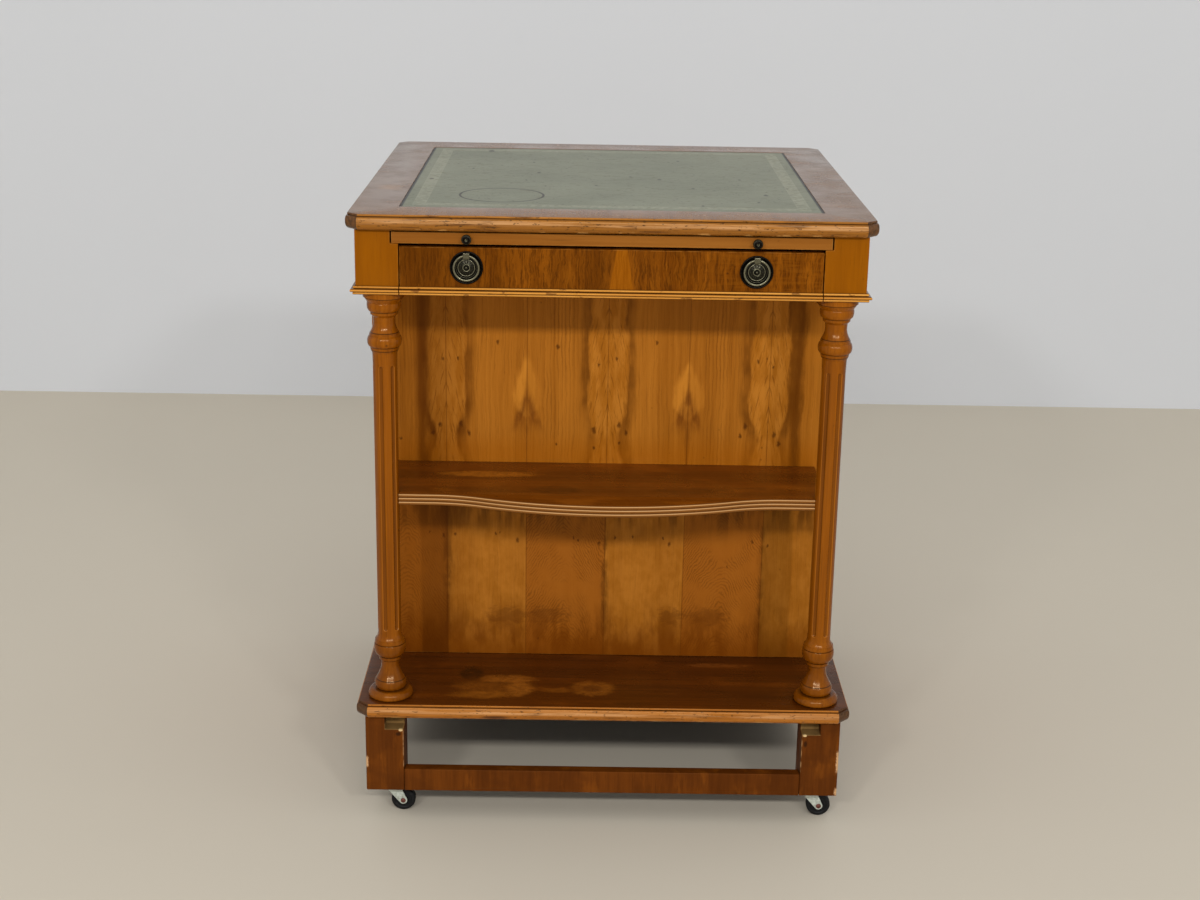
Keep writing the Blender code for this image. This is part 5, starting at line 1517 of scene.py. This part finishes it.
def shelf_half(offset):
    """The right half of the shelf's outline from the middle of its front to its back corner."""
    half = COLUMN_AXIS.x - WAVE_END
    tilt = 2 * math.atan(WAVE / half)
    belly = half / math.sin(tilt) - HOLLOW
    front = BOARD_FRONT - BELLY
    swing = math.degrees(tilt)
    points = arc((0, front + belly), (belly - offset, belly - offset), 270, 270 + swing, 22)
    points += arc((half, front + WAVE - HOLLOW), (HOLLOW + offset, HOLLOW + offset), 90 + swing, 90, 18)[1:]
    scoop = SHAFT + GLUE_GAP
    drop = math.degrees(math.asin((front + WAVE + offset - COLUMN_AXIS.y) / scoop))
    points += arc((COLUMN_AXIS.x, COLUMN_AXIS.y), (scoop, scoop), 180 - drop, 90, 14)
    return points + [(COLUMN_AXIS.x, REED_HIGH.y)]


def build_middle_shelf():
    levels = REEDS * REED_STEPS
    rings = []
    for level in range(levels + 1):
        crest = math.sin(math.pi * (level % REED_STEPS) / REED_STEPS) ** REED_FULLNESS
        half = shelf_half(REED_DEPTH * (1 - crest))
        outline = [(-x, y) for x, y in reversed(half[1:])] + half
        z = REED_LOW.z + (REED_HIGH.z - REED_LOW.z) * level / levels
        rings.append([(x, y, z) for x, y in outline])
    bm = start_piece()
    grow_board(bm, rings)
    bm.normal_update()
    ends = COLUMN_AXIS.x - SHAFT - 2 * GLUE_GAP
    for face in bm.faces:
        spot = face.calc_center_median()
        if abs(face.normal.z) < 0.95 and abs(spot.x) < ends and spot.y < EDGE_BEFORE:
            mark(bm, [face], "reed")
    return close_piece(bm, "middle_shelf", [middle_wood], smooth=50)


shelf = build_middle_shelf()
print("middle shelf has", len(shelf.data.polygons), "faces")

# %% [markdown]
# Each front post of the plinth has an empty notch at its upper inner corner, where a rail is missing. The
# post starts as a block up to the notch's floor. Two bisecting cuts divide its top, and the part beside and
# behind the notch is extruded to full height, so the notch has clean inner corners.

# %% Plinth posts
NOTCH_WIDTH = 0.0225
NOTCH_HEIGHT = 0.0186
NOTCH_DEPTH = 0.018
NOTCH_ARRIS = 0.0011


def plinth_post(side, sign):
    node = f"plinth_post_{side}"
    low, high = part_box(node)
    ledge = SHELF_BOTTOM - NOTCH_HEIGHT
    notch_side = side_reach(node)[0] + NOTCH_WIDTH
    notch_back = low.y + NOTCH_DEPTH
    bm = start_piece()
    cut_board(bm, low, Vector((high.x, high.y, ledge)))
    for spot, way in (((sign * notch_side, 0, 0), (1, 0, 0)), ((0, notch_back, 0), (0, 1, 0))):
        bmesh.ops.bisect_plane(bm, geom=bm.verts[:] + bm.edges[:] + bm.faces[:], plane_co=spot, plane_no=way)
    bm.normal_update()
    notch = []
    standing = []
    for face in [face for face in bm.faces if face.normal.z > 0.9]:
        spot = face.calc_center_median()
        if abs(spot.x) < notch_side and spot.y < notch_back:
            notch.append(face)
        else:
            standing.append(face)
    mark(bm, notch, "bare")
    extrude(bm, standing, (0, 0, high.z - ledge))
    bmesh.ops.delete(bm, geom=standing, context="FACES_ONLY")
    bmesh.ops.recalc_face_normals(bm, faces=bm.faces[:])
    ease(bm, [edge for edge in bm.edges if edge.calc_face_angle(0) > 0.5 and edge.is_convex], NOTCH_ARRIS)
    return close_piece(bm, node, [plinth_wood])


for side, sign in SIDES.items():
    post = plinth_post(side, sign)
    print(post.name, len(post.data.polygons), "faces")

# %% [markdown]
# A knob for the slide is a small turning: collar, thin neck and a round head with a step and a dimple in its
# face. The profile is spun upright and then tipped forwards. Its shank goes into the slide's edge, so the
# knob still looks right when the slide is seen from below.

# %% Slide knobs
TIP_FORWARD = Matrix.Rotation(math.pi / 2, 3, "X")
KNOB = 0.00575
KNOB_LENGTH = 0.0125
KNOB_STEPS = 48


def mark_crowns(bm, radius, reach, level, amount=1.0):
    """Marks the faces about one radius that stand proud of a level as crowns, where hands rub and a highlight
    is painted.
    """
    for face in bm.faces:
        spot = face.calc_center_median()
        if abs(spot.xy.length - radius) < reach and spot.z > level:
            mark(bm, [face], "crown", amount)


def tip_into_place(bm, place):
    """Tips an upright turning forwards and carries it to its place."""
    bmesh.ops.rotate(bm, matrix=TIP_FORWARD, verts=bm.verts[:])
    bmesh.ops.translate(bm, vec=place, verts=bm.verts[:])


def slide_knob(side):
    node = f"slide_knob_{side}"
    centre = middle_of(node)
    profile = [(0, -0.010), (0.0015, -0.010), (0.0015, GLUE_GAP), (0.0044, GLUE_GAP), (0.0045, 0.0012)]
    profile += [(0.0040, 0.0020), (0.0027, 0.0024), (0.0025, 0.0048), (0.0034, 0.0058)]
    profile += arc((KNOB - 0.0019, 0.0080), (0.0019, 0.0022), -75, 60, 9)
    profile += [(0.0043, 0.0104), (0.0036, 0.0106)]
    profile += arc((0.0024, 0.0106), (0.0011, KNOB_LENGTH - 0.0106), 10, 165, 7)
    profile += [(0.0010, 0.0109), (0.0006, 0.0104), (0, 0.0103)]
    bm = start_piece()
    turn(bm, profile, KNOB_STEPS)
    # painted highlight, partly rubbed metal: a pale dot in the middle of the knob
    mark_crowns(bm, 0, 0.0013, 0.0104, 0.8)
    mark_crowns(bm, 0.0050, 0.0008, 0.0080, 0.12)
    tip_into_place(bm, (centre.x, FACE, centre.z))
    return close_piece(bm, node, [bronze], smooth=40)


for side in SIDES:
    print(slide_knob(side).name, "turned")

# %% [markdown]
# A pull's backplate is pressed bronze: a rolled rim, a fine ridge, a rosette of petals, a ring and a rivet in
# the middle. The rings are one spin. The petals are small spheres, flattened and stood round the middle.

# %% Pull plates: turned rings and petals
PLATE = 0.01875
PLATE_STEPS = 72
PETALS = 14
PETAL_AT = 0.0064
PETAL_SIZE = (0.0017, 0.00078, 0.00085)


def plate_profile():
    """Radius and height through the plate's shank, rim, ridges, rings and rivet."""
    profile = [(0, -0.0233), (0.002, -0.0233), (0.002, 0), (PLATE - 0.0004, 0), (PLATE, 0.0006)]
    profile += arc((PLATE - 0.0011, 0.0010), (0.0011, 0.0011), 0, 170, 9)
    profile += [(PLATE - 0.0030, 0.0010), (0.0128, 0.0012)]
    profile += arc((0.0118, 0.0012), (0.0006, 0.0006), 0, 180, 6)
    profile += [(0.0106, 0.0012), (0.0100, 0.0014)]
    profile += arc((0.0093, 0.0016), (0.0006, 0.0008), 0, 180, 6)
    profile += [(0.0082, 0.0018), (0.0046, 0.0022)]
    profile += arc((0.0038, 0.0024), (0.0006, 0.0009), 0, 180, 6)
    profile += [(0.0028, 0.0024), (0.0019, 0.0025)]
    profile += arc((0, 0.0028), (0.0018, 0.0014), 5, 85, 5) + [(0, 0.0042)]
    return [(radius, GLUE_GAP + height) for radius, height in profile]


def add_petals(bm):
    for count in range(PETALS):
        petal = bmesh.ops.create_uvsphere(bm, u_segments=10, v_segments=6, radius=1)["verts"]
        bmesh.ops.scale(bm, vec=PETAL_SIZE, verts=petal)
        bmesh.ops.translate(bm, vec=(PETAL_AT, 0, GLUE_GAP + 0.0020), verts=petal)
        spin = Matrix.Rotation(2 * math.pi * count / PETALS, 3, "Z")
        bmesh.ops.rotate(bm, cent=(0, 0, 0), matrix=spin, verts=petal)


print("plate profile has", len(plate_profile()), "points")

# %% [markdown]
# The lug that holds the ring is a square frame round a hole. Two loops of points, one left round and one
# pushed out to a square, are bridged, and the flat frame is extruded to the lug's width. The hole is wide
# enough for the ring's curve, so the ring can swing.

# %% Pull plates: the lug
RING_RADIUS = 0.0140
WIRE = 0.0014
WIRE_DEPTH = 0.0046
LUG_WIDTH = 0.0070
LUG_WALL = 0.0010


def add_lug(bm):
    """A square frame round the ring's wire, standing on the plate's upper part."""
    eye = WIRE + RING_RADIUS - math.sqrt(RING_RADIUS ** 2 - (LUG_WIDTH / 2) ** 2) + GLUE_GAP
    outer = eye + LUG_WALL
    hole = bmesh.ops.create_circle(bm, segments=24, radius=eye)["verts"]
    square = bmesh.ops.create_circle(bm, segments=24, radius=outer)["verts"]
    for vert in square:
        vert.co *= outer / max(abs(vert.co.x), abs(vert.co.y))
    edges = {edge for vert in hole + square for edge in vert.link_edges}
    ring = bmesh.ops.bridge_loops(bm, edges=list(edges))["faces"]
    lug = hole + square + extrude(bm, ring, (0, 0, LUG_WIDTH))[0]
    # pale lug: partly rubbed bronze, partly painted highlight
    mark(bm, {face for vert in lug for face in vert.link_faces}, "crown", 0.3)
    bmesh.ops.translate(bm, vec=(0, 0, -LUG_WIDTH / 2), verts=lug)
    bmesh.ops.rotate(bm, cent=(0, 0, 0), matrix=Matrix.Rotation(math.pi / 2, 3, "Y"), verts=lug)
    bmesh.ops.translate(bm, vec=(0, RING_RADIUS, WIRE_DEPTH), verts=lug)
    rim = [edge for edge in {e for v in lug for e in v.link_edges} if edge.calc_face_angle(0) > 0.7]
    outside = [edge for edge in rim if max(abs(edge.verts[0].co.y - RING_RADIUS),
                                           abs(edge.verts[0].co.z - WIRE_DEPTH)) > outer - 0.0001]
    ease(bm, outside, THIN_ARRIS)


print("lug is", LUG_WIDTH * 1000, "mm wide")

# %% [markdown]
# Plate, petals and lug are put together upright, marked on the bands where hands have rubbed them and a
# highlight is painted, and then tipped forwards onto the drawer's front.

# %% Pull plates
RUBBED_AND_HIGHLIGHT_BANDS = ((0.0118, 0.0007, 0.12), (0.0093, 0.0008, 0.50), (0.0064, 0.0020, 0.05),
                (0.0038, 0.0007, 0.60), (0.0, 0.0018, 0.15))


def pull_plate(side):
    node = f"pull_plate_{side}"
    bm = start_piece()
    turn(bm, plate_profile(), PLATE_STEPS)
    add_petals(bm)
    # pale bands on the plate: partly rubbed bronze, partly painted highlight
    for radius, reach, amount in RUBBED_AND_HIGHLIGHT_BANDS:
        mark_crowns(bm, radius, reach, GLUE_GAP + 0.0014, amount)
    add_lug(bm)
    tip_into_place(bm, (middle_of(node).x, FACE, middle_of(f"pull_ring_{side}").z))
    return close_piece(bm, node, [bronze], smooth=40)


for side in SIDES:
    plate = pull_plate(side)
    print(plate.name, len(plate.data.polygons), "faces")

# %% [markdown]
# The ring is a round wire bent to a circle: a small circle of points spun once about the ring's middle. It
# rides on its own body, because it swings up when a hand lifts it.


# %% Pull rings
def pull_ring(side):
    node = f"pull_ring_{side}"
    bm = start_piece()
    wire = bmesh.ops.create_circle(bm, segments=16, radius=WIRE)["verts"]
    bmesh.ops.rotate(bm, matrix=TIP_FORWARD, verts=wire)
    bmesh.ops.translate(bm, vec=(RING_RADIUS, 0, 0), verts=wire)
    spin_once(bm, bm.verts[:] + bm.edges[:], 72)
    # painted highlight, partly rubbed metal: a pale line along the top of the wire
    mark_crowns(bm, RING_RADIUS, WIRE * 0.7, WIRE * 0.5, 0.45)
    tip_into_place(bm, middle_of(node))
    return close_piece(bm, node, [bronze], smooth=60)


for side in SIDES:
    print(pull_ring(side).name, "bent")

# %% [markdown]
# A caster has four pieces: a square plate under the post with the king pin, a fork that swivels on it, an
# axle riveted through the fork, and a wheel. The plate comes first: a thin board with rounded corners, its
# pin as a small turning, and four screw heads.

# %% Caster plates
CASTER_PLATE = 0.002
KING_PIN = 0.0025
SCREW_AT = 0.011


def caster_plate(spot, x, y):
    node = f"caster_plate_{spot}"
    low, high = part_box(node)
    bm = start_piece()
    cut_board(bm, Vector((low.x, low.y, high.z - CASTER_PLATE)), high)
    upright = [edge for edge in bm.edges if abs(edge.verts[0].co.z - edge.verts[1].co.z) > 0.001]
    bmesh.ops.bevel(bm, geom=upright, offset=0.004, offset_type="OFFSET", affect="EDGES", segments=5,
                    profile=0.5, material=-1)
    ease(bm, [edge for edge in bm.edges if edge.calc_face_angle(0) > 1.0], 0.0003)
    pin_top = high.z - 0.0015
    pin = turn(bm, [(0, low.z), (KING_PIN, low.z), (KING_PIN, pin_top), (0, pin_top)], 24)
    bmesh.ops.translate(bm, vec=(x, y, 0), verts=pin)
    for dx, dy in ((-1, -1), (1, -1), (-1, 1), (1, 1)):
        head = turn(bm, [(0, -0.0010)] + arc((0, 0), (0.0024, 0.0009), -80, 0, 4) + [(0, 0)], 20)
        place = (x + dx * SCREW_AT, y + dy * SCREW_AT, high.z - 0.0019)
        bmesh.ops.translate(bm, vec=place, verts=head)
    close_piece(bm, node, [zinc], smooth=40)


print("caster plates are", CASTER_PLATE * 1000, "mm thick")

# %% [markdown]
# The fork has two flat arms that slant down to the axle, a web between them and a turned race on top. An arm
# is one outline with a round eye, extruded to the thickness of the sheet.

# %% Caster forks
TRAIL = 0.012
AXLE_HEIGHT = 0.014815
FORK_INNER = 0.0066
FORK_THICKNESS = 0.0018
RACE = 0.0095
WEB_BOTTOM = 0.030431
WEB_TOP = 0.032231
RACE_TOP = 0.037331


def add_arm(bm, start, end):
    eye = arc((TRAIL, AXLE_HEIGHT), (0.005, 0.005), 215, 395, 20)
    outline = [(RACE, WEB_TOP), (-RACE, WEB_TOP)] + eye
    face = bm.faces.new([bm.verts.new((px, start, pz)) for px, pz in outline])
    extrude(bm, [face], (0, end - start, 0))


def caster_fork(spot, x, y):
    bm = start_piece()
    for sign in (-1, 1):
        add_arm(bm, sign * FORK_INNER, sign * (FORK_INNER + FORK_THICKNESS))
    cut_board(bm, Vector((-RACE, -FORK_INNER, WEB_BOTTOM)), Vector((RACE, FORK_INNER, WEB_TOP)))
    ease(bm, [edge for edge in bm.edges if edge.calc_face_angle(0) > 0.8], THIN_ARRIS)
    race = [(0.0029, WEB_TOP - 0.0008), (RACE - 0.0006, WEB_TOP - 0.0008), (RACE - 0.0004, WEB_TOP + 0.0014)]
    race += [(RACE - 0.0014, WEB_TOP + 0.0018), (RACE - 0.0014, WEB_TOP + 0.0024)]
    race += [(RACE - 0.0003, WEB_TOP + 0.0028), (RACE - 0.0003, RACE_TOP - 0.0004)]
    race += [(RACE - 0.0007, RACE_TOP), (0.0029, RACE_TOP)]
    turn(bm, race + race[:1], 40)
    bmesh.ops.translate(bm, vec=(x, y, 0), verts=bm.verts[:])
    close_piece(bm, f"caster_fork_{spot}", [zinc], smooth=36)


print("an axle trails its king pin by", TRAIL * 1000, "mm")

# %% [markdown]
# Axle and wheel are turnings, tipped forwards so that they lie along Y. With their functions ready, all four
# pieces are made for each spot, at the place the CAD gives. The fork and the wheel ride on bodies of their
# own.

# %% Caster axles and wheels
WHEEL = AXLE_HEIGHT
WHEEL_HALF = 0.006


def caster_axle(spot, x, y):
    shoulder = FORK_INNER + FORK_THICKNESS + GLUE_GAP
    head = arc((0, shoulder), (0.0032, 0.0010), 90, 0, 7)
    profile = [(max(radius, 0), height) for radius, height in head] + [(0.002, shoulder)]
    profile += [(radius, -height) for radius, height in reversed(profile)]
    bm = start_piece()
    turn(bm, profile, 28)
    tip_into_place(bm, (x + TRAIL, y, AXLE_HEIGHT))
    close_piece(bm, f"caster_axle_{spot}", [rivet], smooth=40)


def caster_wheel(spot, x, y):
    half = [(0.0023, WHEEL_HALF - 0.0010), (0.0052, WHEEL_HALF - 0.0010), (0.0060, WHEEL_HALF - 0.0004)]
    half += [(0.0072, WHEEL_HALF - 0.0004), (0.0078, WHEEL_HALF - 0.0010), (0.0096, WHEEL_HALF - 0.0010)]
    half += [(0.0102, WHEEL_HALF - 0.0002), (0.0110, WHEEL_HALF)]
    half += arc((WHEEL - 0.0030, WHEEL_HALF - 0.0030), (0.0030, 0.0030), 90, 0, 8)
    profile = half + [(radius, -height) for radius, height in reversed(half)]
    bm = start_piece()
    turn(bm, profile + profile[:1], 64)
    tip_into_place(bm, (x + TRAIL, y, AXLE_HEIGHT))
    close_piece(bm, f"caster_wheel_{spot}", [rubber], smooth=40)


for row in ("front", "rear"):
    for side in SIDES:
        spot = f"{row}_{side}"
        middle = middle_of(f"caster_plate_{spot}")
        for build in (caster_plate, caster_fork, caster_axle, caster_wheel):
            build(spot, middle.x, middle.y)
print(piece_count, "pieces in all")

# %% [markdown] The dressing ends here.
